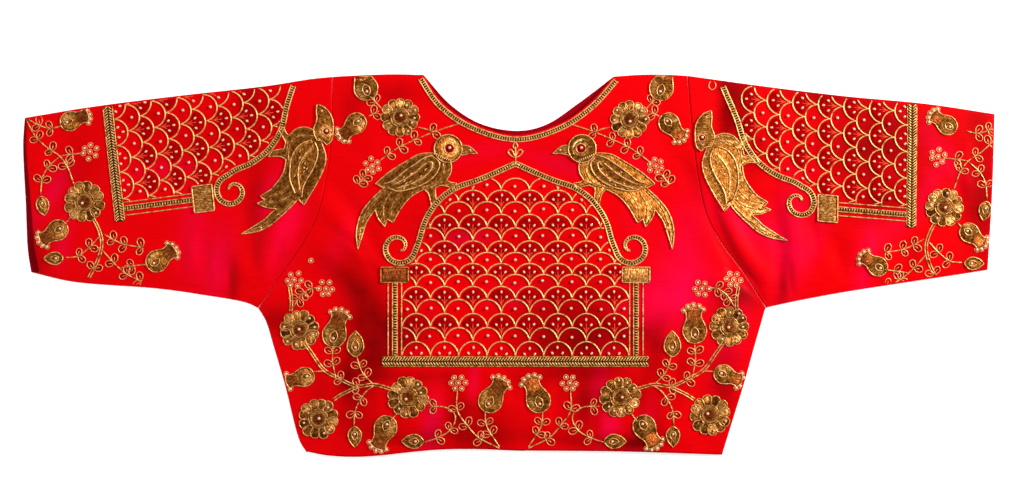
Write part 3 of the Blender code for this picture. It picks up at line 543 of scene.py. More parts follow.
def shade_cloth(obj):
    """Stores the painted sheen, where the silk turns pinkish, and the painted shade, where it turns dark red,
    for its material to read.
    """
    flat = np.array([v.co[:2] for v in obj.data.vertices]) * 1000 - SHIFT
    for name, table in (("painted_sheen", PAINTED_PINK_SHEEN), ("painted_shade", PAINTED_SHADE_PATCHES)):
        layer = obj.data.attributes.new(name, "FLOAT", "POINT")
        layer.data.foreach_set("value", np.clip(patches(table, flat), 0, 1))


def new_material(name, settings):
    """A material with its shader's fixed values, and functions to add nodes and link one to the shader."""
    material = bpy.data.materials.new(name)
    material.use_nodes = True
    tree = material.node_tree
    shader = tree.nodes["Principled BSDF"]
    for key, value in settings.items():
        shader.inputs[key].default_value = value

    def add(kind, inputs=(), **choices):
        node = tree.nodes.new(kind)
        for key, value in choices.items():
            setattr(node, key, value)
        for key, value in dict(inputs).items():
            if isinstance(value, bpy.types.NodeSocket):
                tree.links.new(value, node.inputs[key])
            else:
                node.inputs[key].default_value = value
        return node

    def link(output, key):
        tree.links.new(output, shader.inputs[key])

    return material, add, link


def ramp(add, value, stops):
    """A colour ramp over a value, from (place, colour) stops."""
    node = add("ShaderNodeValToRGB", {"Fac": value})
    while len(node.color_ramp.elements) < len(stops):
        node.color_ramp.elements.new(0.5)
    for element, (place, colour) in zip(node.color_ramp.elements, stops):
        element.position = place
        element.color = (*colour, 1)
    return node.outputs["Color"]


def noise(add, place, scale, detail):
    sockets = {"Vector": place, "Scale": scale, "Detail": detail}
    return add("ShaderNodeTexNoise", sockets).outputs["Fac"]


def spread(add, value, low, high):
    """Stretches the middle of a noise's range over low to high."""
    limits = {"From Min": 0.3, "From Max": 0.7, "To Min": low, "To Max": high}
    return add("ShaderNodeMapRange", {"Value": value, **limits}).outputs["Result"]


def total_of(add, first, second):
    return add("ShaderNodeMath", {0: first, 1: second}, operation="ADD").outputs[0]


def silk(name, red, painted_sheen, painted_shade, shine):
    """Plain-woven shot art silk with slubs across it, mixed with the painted sheen and painted shade stored
    on the cloth.
    """
    glow = {
        "Sheen Weight": 0.12,
        "Sheen Roughness": 0.35,
        "Sheen Tint": (1.0, 0.0, 0.02, 1),
        "Specular IOR Level": 0.5,
        "Specular Tint": (1.0, 0.01, 0.02, 1),
    }
    material, add, link = new_material(name, glow)
    place = add("ShaderNodeTexCoord").outputs["Object"]
    cloudy = add("ShaderNodeTexNoise", {"Vector": place, "Scale": 16, "Detail": 3, "Roughness": 0.6})
    wander = spread(add, cloudy.outputs["Fac"], 0.5, 1.1)
    colour = (*red, 1)
    # Mixes in the painted sheen, then the painted shade
    for stored, tint in (("painted_sheen", painted_sheen), ("painted_shade", painted_shade)):
        strength = add("ShaderNodeAttribute", attribute_name=stored).outputs["Fac"]
        share = add("ShaderNodeMath", {0: strength, 1: wander}, operation="MULTIPLY").outputs[0]
        sockets = {"Factor": share, "A": colour, "B": (*tint, 1)}
        colour = add("ShaderNodeMix", sockets, data_type="RGBA").outputs["Result"]
    slub_place = add("ShaderNodeMapping", {"Vector": place, "Scale": (60, 900, 60)}).outputs["Vector"]
    slub = noise(add, slub_place, 1, 2)
    slubbed = add("ShaderNodeHueSaturation", {"Color": colour, "Value": spread(add, slub, 0.95, 1.04)})
    link(slubbed.outputs["Color"], "Base Color")
    link(spread(add, slub, shine - 0.06, shine + 0.08), "Roughness")
    thread = {"Vector": place, "Scale": 700, "Distortion": 1.5}
    warp, weft = (add("ShaderNodeTexWave", thread, bands_direction=axis).outputs["Fac"] for axis in "XY")
    relief = total_of(add, total_of(add, warp, weft), slub)
    bump = add("ShaderNodeBump", {"Height": relief, "Strength": 0.12, "Distance": 0.0002})
    link(bump.outputs["Normal"], "Normal")
    return material


# Each silk's own red, then the colours of its painted sheen and of its painted shade
RED_SILK = silk("red_silk", (0.56, 0.0, 0.001), (0.70, 0.001, 0.042), (0.11, 0.0, 0.0), 0.5)
# The inner face is the same silk, darkened as painted shade
SHADED_SILK_INSIDE = silk("red_silk_inside_painted_shade", (0.22, 0.0, 0.004), (0.3, 0.0, 0.02), (0.09, 0.0, 0.002), 0.65)

BACK_SIDE_ROWS, BACK_SHOULDER_COLUMNS, BACK_NECK_COLUMNS = 62, 36, 104


def back_panel():
    """The back's outer and inner points."""
    shoulder = np.linspace(0, 1, BACK_SHOULDER_COLUMNS + 1)
    neck = along(smooth_line(BACK_NECK), np.linspace(0, 1, BACK_NECK_COLUMNS + 1))[1:-1]
    left, right = (along(smooth_line(SHOULDER_TOP[side]), shoulder) for side in ("left", "right"))
    top_edge = np.vstack([left, neck, right])
    shoulder_turn = [PRESSED_ROLL] * BACK_SHOULDER_COLUMNS
    turn = np.array(shoulder_turn + [TURNED_IN_ROLL] * (len(neck) + 2) + shoulder_turn)
    foot = along(smooth_line(HEM), np.linspace(0, 1, len(top_edge)))
    grid, normals, turns, top = torso_grid(BACK_SIDE_ROWS, ARMHOLE_ROWS, top_edge, turn, None, None, foot)
    return rolled_grid(grid, normals, turns, top, turn, surface(grid), faces_up=True)


back = cloth_wall("back", *back_panel())
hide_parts("back_panel")


# SLEEVES
# Two long sleeves of the same silk, each one piece folded along its top and sewn along the underarm,
# then set into the armhole. They lie flat, and the upper layer's cuff lies a little back from the
# lower one's, so the inside shows as a strip, made dark by painted shade.

CUFF = {
    "left": [CUFF_TOP["left"], (-464, 116), (-461.5, 58.7), (-459.5, 12.9), CUFF_FOOT["left"]],
    "right": [CUFF_TOP["right"], (463, 110), (461.3, 62.6), (458.6, 14.8), CUFF_FOOT["right"]],
}
CUFF_SET_BACK = {"left": (2.5, 8), "right": (0.8, 0.8)}
SLEEVE_SECTIONS = 150
FOLD_ANGLES = np.linspace(75, -75, 7)


def fold_points(above, below, out, radius, angles):
    """Points round the edge where the cloth turns under, between the two layers' ends."""
    a = np.radians(angles)[None, :, None]
    share = (1 + np.sin(a)) / 2
    place = above[:, None] * share + below[:, None] * (1 - share) + out[:, None] * radius * np.cos(a)
    z = np.broadcast_to(SLEEVE_ROLL + radius * np.sin(a), (*place.shape[:2], 1))
    return np.concatenate([place, z], axis=-1)


def sleeve(side):
    """A sleeve's outer and inner points, in rings from the armhole to the cuff."""
    sections = np.linspace(0, 1, SLEEVE_SECTIONS + 1)
    armhole = armhole_points(side, ARMHOLE_ROWS)[::-1]
    armhole = armhole + outward(armhole, np.array([CENTRE_X, 0.0])) * SEAM
    shoulder = np.array([armhole[0, 0], SHOULDER[side][1]])
    cuff = along(smooth_line(CUFF[side]), np.linspace(0, 1, ARMHOLE_ROWS + 1))
    top = pinned(along(smooth_line(SLEEVE_TOP[side]), sections), shoulder, cuff[0])
    foot = pinned(along(smooth_line(SLEEVE_FOOT[side]), sections), armhole[-1], cuff[-1])
    inside = (top.mean(axis=0) + foot.mean(axis=0)) / 2
    top_out, foot_out = outward(top, inside), outward(foot, inside)
    top_in, foot_in = top - top_out * SLEEVE_ROLL, foot - foot_out * SLEEVE_ROLL
    top_in[0, 0] = armhole[0, 0]
    last = pinned(cuff, top_in[-1], foot_in[-1])
    armhole[0], armhole[-1] = top_in[0], foot_in[0]
    lower = blended(top_in, foot_in, armhole, last).transpose(1, 0, 2)
    axis = last.mean(axis=0) - armhole.mean(axis=0)
    axis = axis / np.linalg.norm(axis)
    set_back = np.linspace(*CUFF_SET_BACK[side], lower.shape[1])
    upper = lower - (sections**4)[:, None, None] * set_back[None, :, None] * axis
    height = surface(upper)[..., None]
    pick = np.linspace(lower.shape[1] - 1, 0, ARMHOLE_ROWS // 2 + 1).round().astype(int)
    skins = []
    for face, radius in ((0, SLEEVE_ROLL), (CLOTH, SLEEVE_ROLL - CLOTH)):
        under = lower[:, pick]
        ring = [
            np.concatenate([upper, height - face], axis=-1),
            fold_points(upper[:, -1], lower[:, -1], foot_out, radius, FOLD_ANGLES),
            np.concatenate([under, np.full((*under.shape[:2], 1), float(face))], axis=-1),
            fold_points(upper[:, 0], lower[:, 0], top_out, radius, -FOLD_ANGLES),
        ]
        skins.append(np.concatenate(ring, axis=1))
    return skins


for side in ("left", "right"):
    cloth_wall(f"sleeve_{side}_cloth", *sleeve(side), wrap=True)
    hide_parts(f"sleeve_{side}")


# FRONTS
# Two plain front panels of the same silk, under the back. They meet down the middle in a hook band,
# where the left one steps up over the right one. Their neck edge shows inside the back's, its inner
# face darkened by painted shade.

FRONT_NECK = [
    NECK_CORNER["left"],
    (-55, 152.8),
    (-27, 135.3),
    (8, 128.4),
    (36, 134.7),
    (66, 154.5),
    NECK_CORNER["right"],
]
PLACKET_HALF, PLACKET_SLOPE, PLACKET_STEP = 9, 13, 2.6
FRONT_SIDE_ROWS, FRONT_SHOULDER_COLUMNS, FRONT_NECK_COLUMNS = 40, 16, 44


def front_panel(side):
    """A front's outer and inner points. It lies on the table with its outer face down."""
    sign = 1 if side == "left" else -1
    edge_x = CENTRE_X + sign * PLACKET_HALF
    neck_line = smooth_line(FRONT_NECK)
    order = np.argsort(neck_line[:, 0])
    band = CENTRE_X + sign * np.linspace(PLACKET_HALF, -PLACKET_HALF - PLACKET_SLOPE, 18)
    spaced = np.linspace(NECK_CORNER[side][0], band[-1], FRONT_NECK_COLUMNS + 1)
    columns_x = np.concatenate([spaced[1:], band[-2::-1]])
    neck = np.stack([columns_x, np.interp(columns_x, neck_line[order, 0], neck_line[order, 1])], axis=1)
    shoulder_line = smooth_line(SHOULDER_TOP[side])[::sign]
    shoulder = along(shoulder_line, np.linspace(0, 1, FRONT_SHOULDER_COLUMNS + 1))
    top_edge = np.vstack([shoulder, neck])
    turn = np.array([PRESSED_ROLL] * FRONT_SHOULDER_COLUMNS + [TURNED_IN_ROLL] * (len(neck) + 1))
    hem_line = smooth_line(HEM)
    share = np.linspace(0, 1, len(top_edge) - len(band) + 1)
    across = np.concatenate([share, np.ones(len(band) - 1)])
    hem_x = np.concatenate([HEM_CORNER[side][0] + (band[-1] - HEM_CORNER[side][0]) * share, band[-2::-1]])
    foot = np.stack([hem_x, np.interp(hem_x, hem_line[:, 0], hem_line[:, 1])], axis=1)
    rows = FRONT_SIDE_ROWS + ARMHOLE_ROWS // 2 + 1
    middle_edge = np.stack([np.full(rows, edge_x), np.linspace(foot[-1, 1], neck[-1, 1], rows)], axis=1)
    if sign < 0:
        top_edge, turn, foot, across = top_edge[::-1], turn[::-1], foot[::-1], 1 - across[::-1]
    edges = (None, middle_edge) if sign > 0 else (middle_edge, None)
    grid, normals, turns, top = torso_grid(
        FRONT_SIDE_ROWS, ARMHOLE_ROWS // 2, top_edge, turn, *edges, foot, across
    )
    height = np.zeros(grid.shape[:2])
    if side == "left":
        slope = np.clip((grid[..., 0] - (CENTRE_X - PLACKET_HALF - PLACKET_SLOPE)) / PLACKET_SLOPE, 0, 1)
        height = PLACKET_STEP * slope * slope * (3 - 2 * slope)
    steps = 5
    skins = rolled_grid(grid, normals, turns, top, turn, height, faces_up=False, steps=steps)
    keep = slice(0, -steps) if sign > 0 else slice(steps, None)
    return [skin[:, keep] for skin in skins]


for side in ("left", "right"):
    cloth_wall(f"front_{side}_cloth", *front_panel(side))
    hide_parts(f"front_{side}")


# HOOKS
# Five flat steel hooks that close the two fronts' hook bands, plain tabs here in place of bent wire.
# They are sewn to one band and stay hidden between the layers while the blouse lies on its front.

HOOK_STEEL, add, link = new_material("hook_steel", {"Metallic": 1.0})
scuffs = noise(add, add("ShaderNodeTexCoord").outputs["Object"], 600, 3)
link(ramp(add, scuffs, [(0.35, (0.42, 0.42, 0.43)), (0.65, (0.58, 0.58, 0.6))]), "Base Color")
wear = add("ShaderNodeMapRange", {"Value": scuffs, "To Min": 0.2, "To Max": 0.45})
link(wear.outputs["Result"], "Roughness")
for i in range(5):
    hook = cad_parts[f"hook_{i + 1}"]
    for slot in hook.material_slots:
        slot.link = "OBJECT"
        slot.material = HOOK_STEEL


# NECK BRAID
# A narrow ladder braid of gold thread, sewn round the back neck: a dark ground between two twisted
# cords, with raised rungs across it. The ground's darkness is partly its own and partly painted shade
# between the rungs.


def gold_thread(name, dark, middle, light):
    """Metal thread. Its tone, which carries some painted highlights and painted shade, and the way its
    threads run, are stored with each piece.
    """
    metal = {"Metallic": 0.7, "Roughness": 0.4, "Specular Tint": (1.0, 0.5, 0.14, 1)}
    material, add, link = new_material(name, metal)
    thread = add("ShaderNodeAttribute", attribute_name="thread").outputs["Vector"]
    parts = add("ShaderNodeSeparateXYZ", {"Vector": thread}).outputs
    place = add("ShaderNodeTexCoord").outputs["Object"]
    lie = add("ShaderNodeCombineXYZ", {"X": parts["Y"], "Y": parts["Z"]}).outputs["Vector"]
    stretched = add("ShaderNodeMapping", {"Vector": lie, "Scale": (1.1, 0.22, 1)}).outputs["Vector"]
    streak = noise(add, stretched, 1, 2)
    speckle = noise(add, place, 420, 2)
    cloudy = noise(add, place, 130, 1)
    total = parts["X"]
    for source, reach in ((streak, 0.3), (speckle, 0.17), (cloudy, 0.08)):
        total = total_of(add, total, spread(add, source, -reach, reach))
    link(ramp(add, total, [(0.05, dark), (0.5, middle), (1.0, light)]), "Base Color")
    wave = add("ShaderNodeTexWave", {"Vector": lie, "Scale": 0.42, "Distortion": 1.5}, bands_direction="X")
    relief = total_of(add, wave.outputs["Fac"], speckle)
    bump = add("ShaderNodeBump", {"Height": relief, "Strength": 0.5, "Distance": 0.0004})
    link(bump.outputs["Normal"], "Normal")
    return material


GOLD = gold_thread("gold_thread", (0.05, 0.009, 0.001), (0.30, 0.096, 0.011), (0.90, 0.51, 0.18))
COPPER = gold_thread("copper_thread", (0.06, 0.006, 0.001), (0.24, 0.05, 0.007), (0.7, 0.28, 0.07))
bead_looks = {"Base Color": (0.82, 0.42, 0.25, 1), "Metallic": 0.2, "Roughness": 0.25, "Coat Weight": 0.25}
PEARL = new_material("pearl_bead", bead_looks)[0]


def joined(name, parts, material, nodes=()):
    """One object from many small pieces, each its points, its faces and its threads' values."""
    points, values, faces, start = [], [], {}, 0
    for part, sets, thread in parts:
        for face in sets:
            faces.setdefault(face.shape[1], []).append(face + start)
        points.append(part)
        values.append(thread)
        start += len(part)
    obj = mesh_object(name, np.vstack(points), [np.vstack(f) for f in faces.values()], [material])
    layer = obj.data.attributes.new("thread", "FLOAT_VECTOR", "POINT")
    layer.data.foreach_set("vector", np.vstack(values).astype(np.float32).ravel())
    if nodes:
        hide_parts(*nodes)
    return obj


def placed(points, x, y, turn_deg=0.0, scale=1.0, side=1):
    """Points of a motif's own frame on the blouse: flipped, scaled, turned and moved."""
    turn = math.radians(turn_deg)
    p = np.array(points, float) * scale
    p[..., 1] *= side
    across = p[..., 0] * math.cos(turn) - p[..., 1] * math.sin(turn)
    up = p[..., 0] * math.sin(turn) + p[..., 1] * math.cos(turn)
    return np.stack([across + x, up + y], axis=-1)


def sideways(line):
    """Unit normals to the left of a line."""
    step = np.gradient(line, axis=0)
    length = np.maximum(np.linalg.norm(step, axis=1), 1e-9)[:, None]
    return np.stack([-step[:, 1], step[:, 0]], axis=1) / length


def closed(line):
    return np.vstack([line, line[:1]])


def in_polygon(polygon, points):
    """Which plan points lie inside a closed outline."""
    x, y = points[:, 0][:, None], points[:, 1][:, None]
    a, b = polygon, np.roll(polygon, -1, axis=0)
    spans = (a[:, 1] > y) != (b[:, 1] > y)
    rise = np.where(np.abs(b[:, 1] - a[:, 1]) < 1e-12, 1e-12, b[:, 1] - a[:, 1])
    cross = x < (b[:, 0] - a[:, 0]) * (y - a[:, 1]) / rise + a[:, 0]
    return (spans & cross).sum(axis=1) % 2 == 1


# The whole blouse's outline from above, from edges that run on from each other or back again
BLOUSE_EDGES = (
    (HEM, 1),
    (SIDE["right"], 1),
    (SLEEVE_FOOT["right"], 1),
    (CUFF["right"], -1),
    (SLEEVE_TOP["right"], -1),
    (SHOULDER_TOP["right"], -1),
    (BACK_NECK, -1),
    (SHOULDER_TOP["left"], -1),
    (SLEEVE_TOP["left"], 1),
    (CUFF["left"], 1),
    (SLEEVE_FOOT["left"], -1),
    (SIDE["left"], -1),
)
BLOUSE = np.vstack([smooth_line(edge, 6)[::way] for edge, way in BLOUSE_EDGES])


def on_blouse(points, margin=1.6):
    """Which plan points lie on the blouse, clear of its edges."""
    points = np.asarray(points, float)
    return in_polygon(BLOUSE, points) & (distance_to(BLOUSE, points)[0] > margin)


def stretches(line, test):
    """The stretches of a line whose points pass a test."""
    passed = test(line)
    cuts = np.flatnonzero(np.diff(passed.astype(int))) + 1
    return [s for s, ok in zip(np.split(line, cuts), np.split(passed, cuts)) if ok[0] and len(s) > 2]


CORD_SIDES, TWIST_PITCH = 6, 3.2


def cords(paths, radius=0.8, tone=0.92, lift=0.0, step=1.0):
    """Two-ply twisted cords laid on the cloth along plan paths, cut off at the blouse's edges."""
    fine = []
    for path in paths:
        path = np.asarray(path, float)
        even = along(path, np.linspace(0, 1, max(4, int(line_length(path) / step))))
        fine += stretches(even, on_blouse)
    level = surface(np.vstack(fine)) + lift + radius * 0.7
    angle = np.linspace(0, 2 * math.pi, CORD_SIDES, endpoint=False)
    parts, start = [], 0
    for line in fine:
        n = len(line)
        twist = 2 * math.pi * step * np.arange(n)[:, None] / TWIST_PITCH
        reach = radius * (1 - 0.26 * np.sin(angle[None] - twist) ** 2)
        reach[[0, -1]] *= 0.6
        place = line[:, None] + sideways(line)[:, None] * (reach * np.cos(angle))[..., None]
        z = level[start : start + n, None] + reach * np.sin(angle)
        start += n
        points = np.concatenate([place, z[..., None]], axis=-1).reshape(-1, 3)
        caps = np.array([np.arange(CORD_SIDES)[::-1], (n - 1) * CORD_SIDES + np.arange(CORD_SIDES)])
        run = np.repeat(step * np.arange(n), CORD_SIDES)
        # Painted highlight: a lighter streak winds round each cord with its twist
        shine = tone + 0.1 * np.sin(angle[None] - twist).ravel()
        faces = [grid_faces(n, CORD_SIDES, wrap=True)[:, ::-1], caps[:, ::-1]]
        parts.append((points, faces, np.stack([shine, run * 0, run], axis=1)))
    return parts


def grains(centres, length, width, height, turns_deg=0.0, tone=0.9, lift=0.0, around=6, rings=4):
    """Small rounded stitches or beads at plan points, each turned its own way."""
    centres = np.asarray(centres, float).reshape(-1, 2)
    turns = np.radians(np.broadcast_to(turns_deg, len(centres)))
    polar = np.linspace(0, math.pi, rings + 1)[1:-1]
    spin = np.linspace(0, 2 * math.pi, around, endpoint=False)
    ball = [(math.sin(a) * math.cos(s), math.sin(a) * math.sin(s), math.cos(a)) for a in polar for s in spin]
    ball = np.array(ball + [(0, 0, 1), (0, 0, -1)]) * (length / 2, width / 2, height / 2)
    top, foot, last = len(ball) - 2, len(ball) - 1, (rings - 2) * around
    k = np.arange(around)
    n = (k + 1) % around
    quads = grid_faces(rings - 1, around, wrap=True)[:, ::-1]
    cap = np.stack([k, n, k * 0 + top], axis=1)
    tris = np.vstack([cap, np.stack([last + n, last + k, k * 0 + foot], axis=1)])
    cos, sin = np.cos(turns)[:, None], np.sin(turns)[:, None]
    x = centres[:, :1] + ball[:, 0] * cos - ball[:, 1] * sin
    y = centres[:, 1:] + ball[:, 0] * sin + ball[:, 1] * cos
    z = (surface(centres) + lift + height * 0.35)[:, None] + ball[:, 2]
    start = (np.arange(len(centres)) * len(ball))[:, None, None]
    faces = [(start + quads).reshape(-1, 4), (start + tris).reshape(-1, 3)]
    tones = np.repeat(np.broadcast_to(tone, len(centres)), len(ball))
    across = np.tile(ball[:, 1], len(centres))
    run = np.tile(ball[:, 0], len(centres))
    points = np.stack([x, y, z], axis=-1).reshape(-1, 3)
    return [(points, faces, np.stack([tones, across, run], axis=1))]


def strip(line, half_widths, thick, tone):
    """A flat band of close stitches along a line, rounded over at its edges."""
    half = np.broadcast_to(half_widths, len(line))[:, None]
    shares = np.array([1, 1, 0.75, 0, -0.75, -1, -1])
    crown = np.array([-0.1, 0.6, 1, 1, 1, 0.6, -0.1])
    normal = sideways(line)
    place = line[:, None] + normal[:, None] * (half * shares)[..., None]
    z = surface(place) + thick * crown
    run = np.repeat(np.arange(len(line)) * 1.0, 7)
    values = np.stack([np.full(len(run), tone), run, np.tile(shares, len(line)) * half.repeat(7)], axis=1)
    points = np.concatenate([place, z[..., None]], axis=-1).reshape(-1, 3)
    return [(points, [grid_faces(len(line), 7)], values)]


def ladder(line, widths, pitch=2.35, tone=0.9):
    """A ladder braid along a line, cut off at the blouse's edges: side cords and rungs over a dark ground,
    whose darkness is partly the braid's own and partly painted shade between the rungs.
    """
    even = along(line, np.linspace(0, 1, int(line_length(line) / 1.5)))
    given = np.broadcast_to(widths, len(line))
    widths = np.interp(np.linspace(0, 1, len(even)), np.linspace(0, 1, len(line)), given)
    marked = np.column_stack([even, sideways(even), widths])
    parts = []
    for piece in stretches(marked, lambda p: on_blouse(p[:, :2], 2.4)):
        middle, across, width = piece[:, :2], piece[:, 2:4], piece[:, 4]
        # The ground: partly the braid's own dark colour, partly painted shade between the rungs
        parts += strip(middle, width / 2 - 0.3, 0.7, 0.02)
        edge = across * (width / 2 - 0.6)[:, None]
        parts += cords([middle + edge, middle - edge], 0.66, tone, 0.2)
        count = int(line_length(middle) / pitch)
        spots = along(piece, np.linspace(0.5 / count, 1 - 0.5 / count, count))
        turns = np.degrees(np.arctan2(spots[:, 3], spots[:, 2]))
        for group in np.array_split(np.arange(count), max(1, count // 12)):
            reach = spots[group, 4].mean() - 1.5
            parts += grains(spots[group, :2], reach, 1.0, 1.0, turns[group], tone - 0.02, 0.75)
    return parts


rng = np.random.default_rng(7)
TRIM_WIDTH, TRIM_INSET = 5.4, 4.3
trim_line = along(smooth_line(BACK_NECK), np.linspace(0.005, 0.995, 170))
trim_line = trim_line - outward(trim_line, np.array([CENTRE_X, 0.0])) * TRIM_INSET
joined("neck_braid", ladder(trim_line, TRIM_WIDTH, tone=0.9), GOLD, ["neck_trim"])


# ARCHES
# One arch on the back and half of one on each sleeve, all in couched gold thread: a scrolled ladder
# border, a base bar of two rows of slanted stitches, banded columns, and satin-stitched blocks.

ARCH_HALF_BASE, ARCH_COLUMN_X, ARCH_BLOCK_Y = 127, 115, 82.6
BORDER_WIDTH, BAR_WIDTH, BLOCK_LENGTH = 6.6, 9.0, 26
BAR_STITCH_LENGTH, BAR_STITCH_PITCH, BAR_STITCH_SLANT = 5.4, 2.7, 52
ARCH_CURVE = [(0, 188.5), (35, 173), (56, 165.7), (71, 155.3), (81, 143), (87.3, 130.5), (91.4, 116)]
SCROLL_X, SCROLL_ABOVE_BLOCK, SCROLL_RADIUS = 111, 18.8, 15.6
SCROLL_START, SCROLL_SWEEP = 193, 410
# Each arch's x and y, its turn in degrees, its scale, how much taller it is drawn, how far it leans,
# its blocks' width, how far from its middle its bar starts, and which halves show. A sleeve's other
# half is over the fold
ARCHES = {
    "back": (6.2, -91.6, 0, 1.0, 1.0, 0, 14.4, 0, (-1, 1)),
    "sleeve_left": (-384, 163.6, -83.6, 0.965, 1.018, -0.016, 19.4, 13.2, (1,)),
    "sleeve_right": (384.5, 158.7, 89.4, 0.965, 1.0, 0.07, 19.4, 5.6, (-1,)),
}


def arch_half(block_width):
    """The border's line from its apex down to the scroll's end, and its width along it."""
    share = np.linspace(0, 1, 60)
    turns = np.radians(SCROLL_START + SCROLL_SWEEP * share)
    reach = SCROLL_RADIUS * (1 - 0.8 * share**1.6)
    centre = (SCROLL_X, ARCH_BLOCK_Y + block_width / 2 + SCROLL_ABOVE_BLOCK)
    scroll = np.stack([np.cos(turns), np.sin(turns)], axis=1) * reach[:, None] + centre
    curve = along(smooth_line(ARCH_CURVE + [tuple(scroll[0])]), np.linspace(0, 1, 90))
    width = np.concatenate([np.ones(90), 1 - 0.62 * share[1:] ** 4]) * BORDER_WIDTH
    return np.vstack([curve, scroll[1:]]), width


def fill(outline, thick, tone=0.5, turn_deg=0.0, lift=0.0, edge=2.0, pitch=1.6):
    """A padded patch of satin stitch inside a closed outline. Its tone is a number, or a function."""
    loop = closed(np.asarray(outline, float))
    line = along(loop, np.linspace(0, 1, max(8, int(line_length(loop) / pitch)), endpoint=False))
    low, high = line.min(axis=0), line.max(axis=0)
    x, y = np.meshgrid(np.arange(low[0], high[0], pitch), np.arange(low[1], high[1], pitch * 0.87))
    x[1::2] += pitch / 2
    inner = np.stack([x.ravel(), y.ravel()], axis=1)
    inner = inner[in_polygon(line, inner)]
    inner = inner[distance_to(closed(line), inner)[0] > pitch * 0.6]
    points = [Vector(p) for p in np.vstack([line, inner])]
    found = delaunay_2d_cdt(points, [], [list(range(len(line)))], 1, 1e-4)
    flat, faces = np.array([tuple(v) for v in found[0]]), np.array([f for f in found[2] if len(f) == 3])
    from_edge = distance_to(closed(line), flat)[0]
    bed = surface(flat) + lift
    top = np.column_stack([flat, bed + thick * (0.4 + 0.6 * (1 - np.exp(-from_edge / edge)))])
    sides = np.vstack([faces[:, [0, 1]], faces[:, [1, 2]], faces[:, [2, 0]]])
    known = {tuple(s) for s in sides}
    rim = np.array([s for s in known if s[::-1] not in known])
    foot = np.column_stack([flat, bed - 0.3])
    walls = np.column_stack([rim[:, 1], rim[:, 0], rim[:, 0] + len(flat), rim[:, 1] + len(flat)])
    turn = math.radians(turn_deg)
    across = flat[:, 1] * math.cos(turn) - flat[:, 0] * math.sin(turn)
    run = flat[:, 0] * math.cos(turn) + flat[:, 1] * math.sin(turn)
    tones = tone(flat) if callable(tone) else np.full(len(flat), tone)
    values = np.column_stack([tones, across, run])
    return [(np.vstack([top, foot]), [faces, walls], np.vstack([values, values]))]


def oblong(length, width, x=0.0, y=0.0):
    corners = np.array([(-1, -1), (1, -1), (1, 1), (-1, 1)]) * (length / 2, width / 2) + (x, y)
    return along(closed(corners), np.linspace(0, 1, 80, endpoint=False))


def on_arch(name):
    """What places points of an arch's own frame on the blouse: x from its middle, y up from its bar."""
    x, y, turn_deg, scale, rise, lean = ARCHES[name][:6]

    def here(points):
        p = np.array(points, float)
        p[..., 1] *= rise
        p[..., 0] += lean * p[..., 1]
        return placed(p, x, y, turn_deg, scale)

    return here


for name, (_, _, turn_deg, scale, _, _, block_width, bar_from, halves) in ARCHES.items():
    here = on_arch(name)
    half, width = arch_half(block_width)
    whole = len(halves) == 2
    border = np.vstack([half[::-1] * (-1, 1), half[1:]]) if whole else half[2:] * (halves[0], 1)
    width = np.concatenate([width[::-1], width[1:]]) if whole else width[2:]
    parts = ladder(here(border), width * 0.86, tone=0.86)
    if whole:
        stem = [(0, 190), (0.4, 196), (0, 205)]
        bows = [[(0, 194), (side * 4, 196), (side * 7, 200), (side * 4, 202), (0, 195)] for side in (-1, 1)]
        bud = [(0, 202), (2.2, 205), (0, 209), (-2.2, 205), (0, 202)]
        parts += cords([here(smooth_line(c, 8)) for c in [stem, *bows, bud]], 0.6, 0.85, 0.2)
        parts += grains(here([(0, 189), (-3, 187.5), (3, 187.5)]), 4.4, 2.2, 1.8, [90, 25, -25], 0.9, 1.2)
    # The base bar: two rows of slanted stitches on a dark ground
    start, end = -ARCH_HALF_BASE, ARCH_HALF_BASE
    if not whole:
        start, end = sorted((halves[0] * bar_from, halves[0] * ARCH_HALF_BASE))
    bar = np.stack([np.linspace(start, end, 160), np.zeros(160)], axis=1)
    parts += strip(here(bar), BAR_WIDTH / 2 * scale, 0.7, -0.1)
    spots = np.arange(start + 1.4, end - 1.0, BAR_STITCH_PITCH)
    for row in (-1, 1):
        stitch = here(np.stack([spots, np.full(len(spots), row * BAR_WIDTH / 4)], axis=1))
        tones = 0.8 + 0.25 * rng.random(len(spots))
        parts += grains(stitch, BAR_STITCH_LENGTH, 1.3, 1.5, turn_deg + row * BAR_STITCH_SLANT, tones, 0.6)
    parts += cords([here(bar + (0, s * BAR_WIDTH / 2)) for s in (-1, 1)], 0.55, 0.7, 0.1)
    for side in halves:
        ending = "" if not whole else "_left" if side < 0 else "_right"
        x = side * ARCH_COLUMN_X
        foot, top = BAR_WIDTH / 2 + 0.5, ARCH_BLOCK_Y - block_width / 2
        upright = np.stack([np.full(60, x), np.linspace(foot, top, 60)], axis=1)
        parts += cords([here(upright + (s, 0)) for s in (-6.2, 6.6)], 0.62, 0.8)
        parts += ladder(here(upright + (-side * 0.2, 0)), 5.6, 2.5, 0.78)
        block = here(oblong(BLOCK_LENGTH, block_width, x, ARCH_BLOCK_Y))
        dark_block = (name, side) == ("back", -1)
        satin = fill(block, 1.3, 0.28 if dark_block else 0.54, turn_deg + 90)
        satin += cords([closed(block)], 0.7, 0.85, 0.9)
        joined(f"block_{name}{ending}", satin, COPPER if dark_block else GOLD, [f"arch_block_{name}{ending}"])
    endings = ["_left", "_right"] if whole else [""]
    nodes = [f"arch_border_{name}", f"arch_base_{name}"] + [f"arch_column_{name}{e}" for e in endings]
    joined(f"arch_{name}_goldwork", parts, GOLD, nodes)


# SCALE LATTICE
# Inside each arch, rows of overlapping scales outlined in gold cord. Every other row has a single
# bead in each scale, and the rows between have three beads over a small rosy sprig on a darker
# ground, partly dark red stitching and partly painted shade.

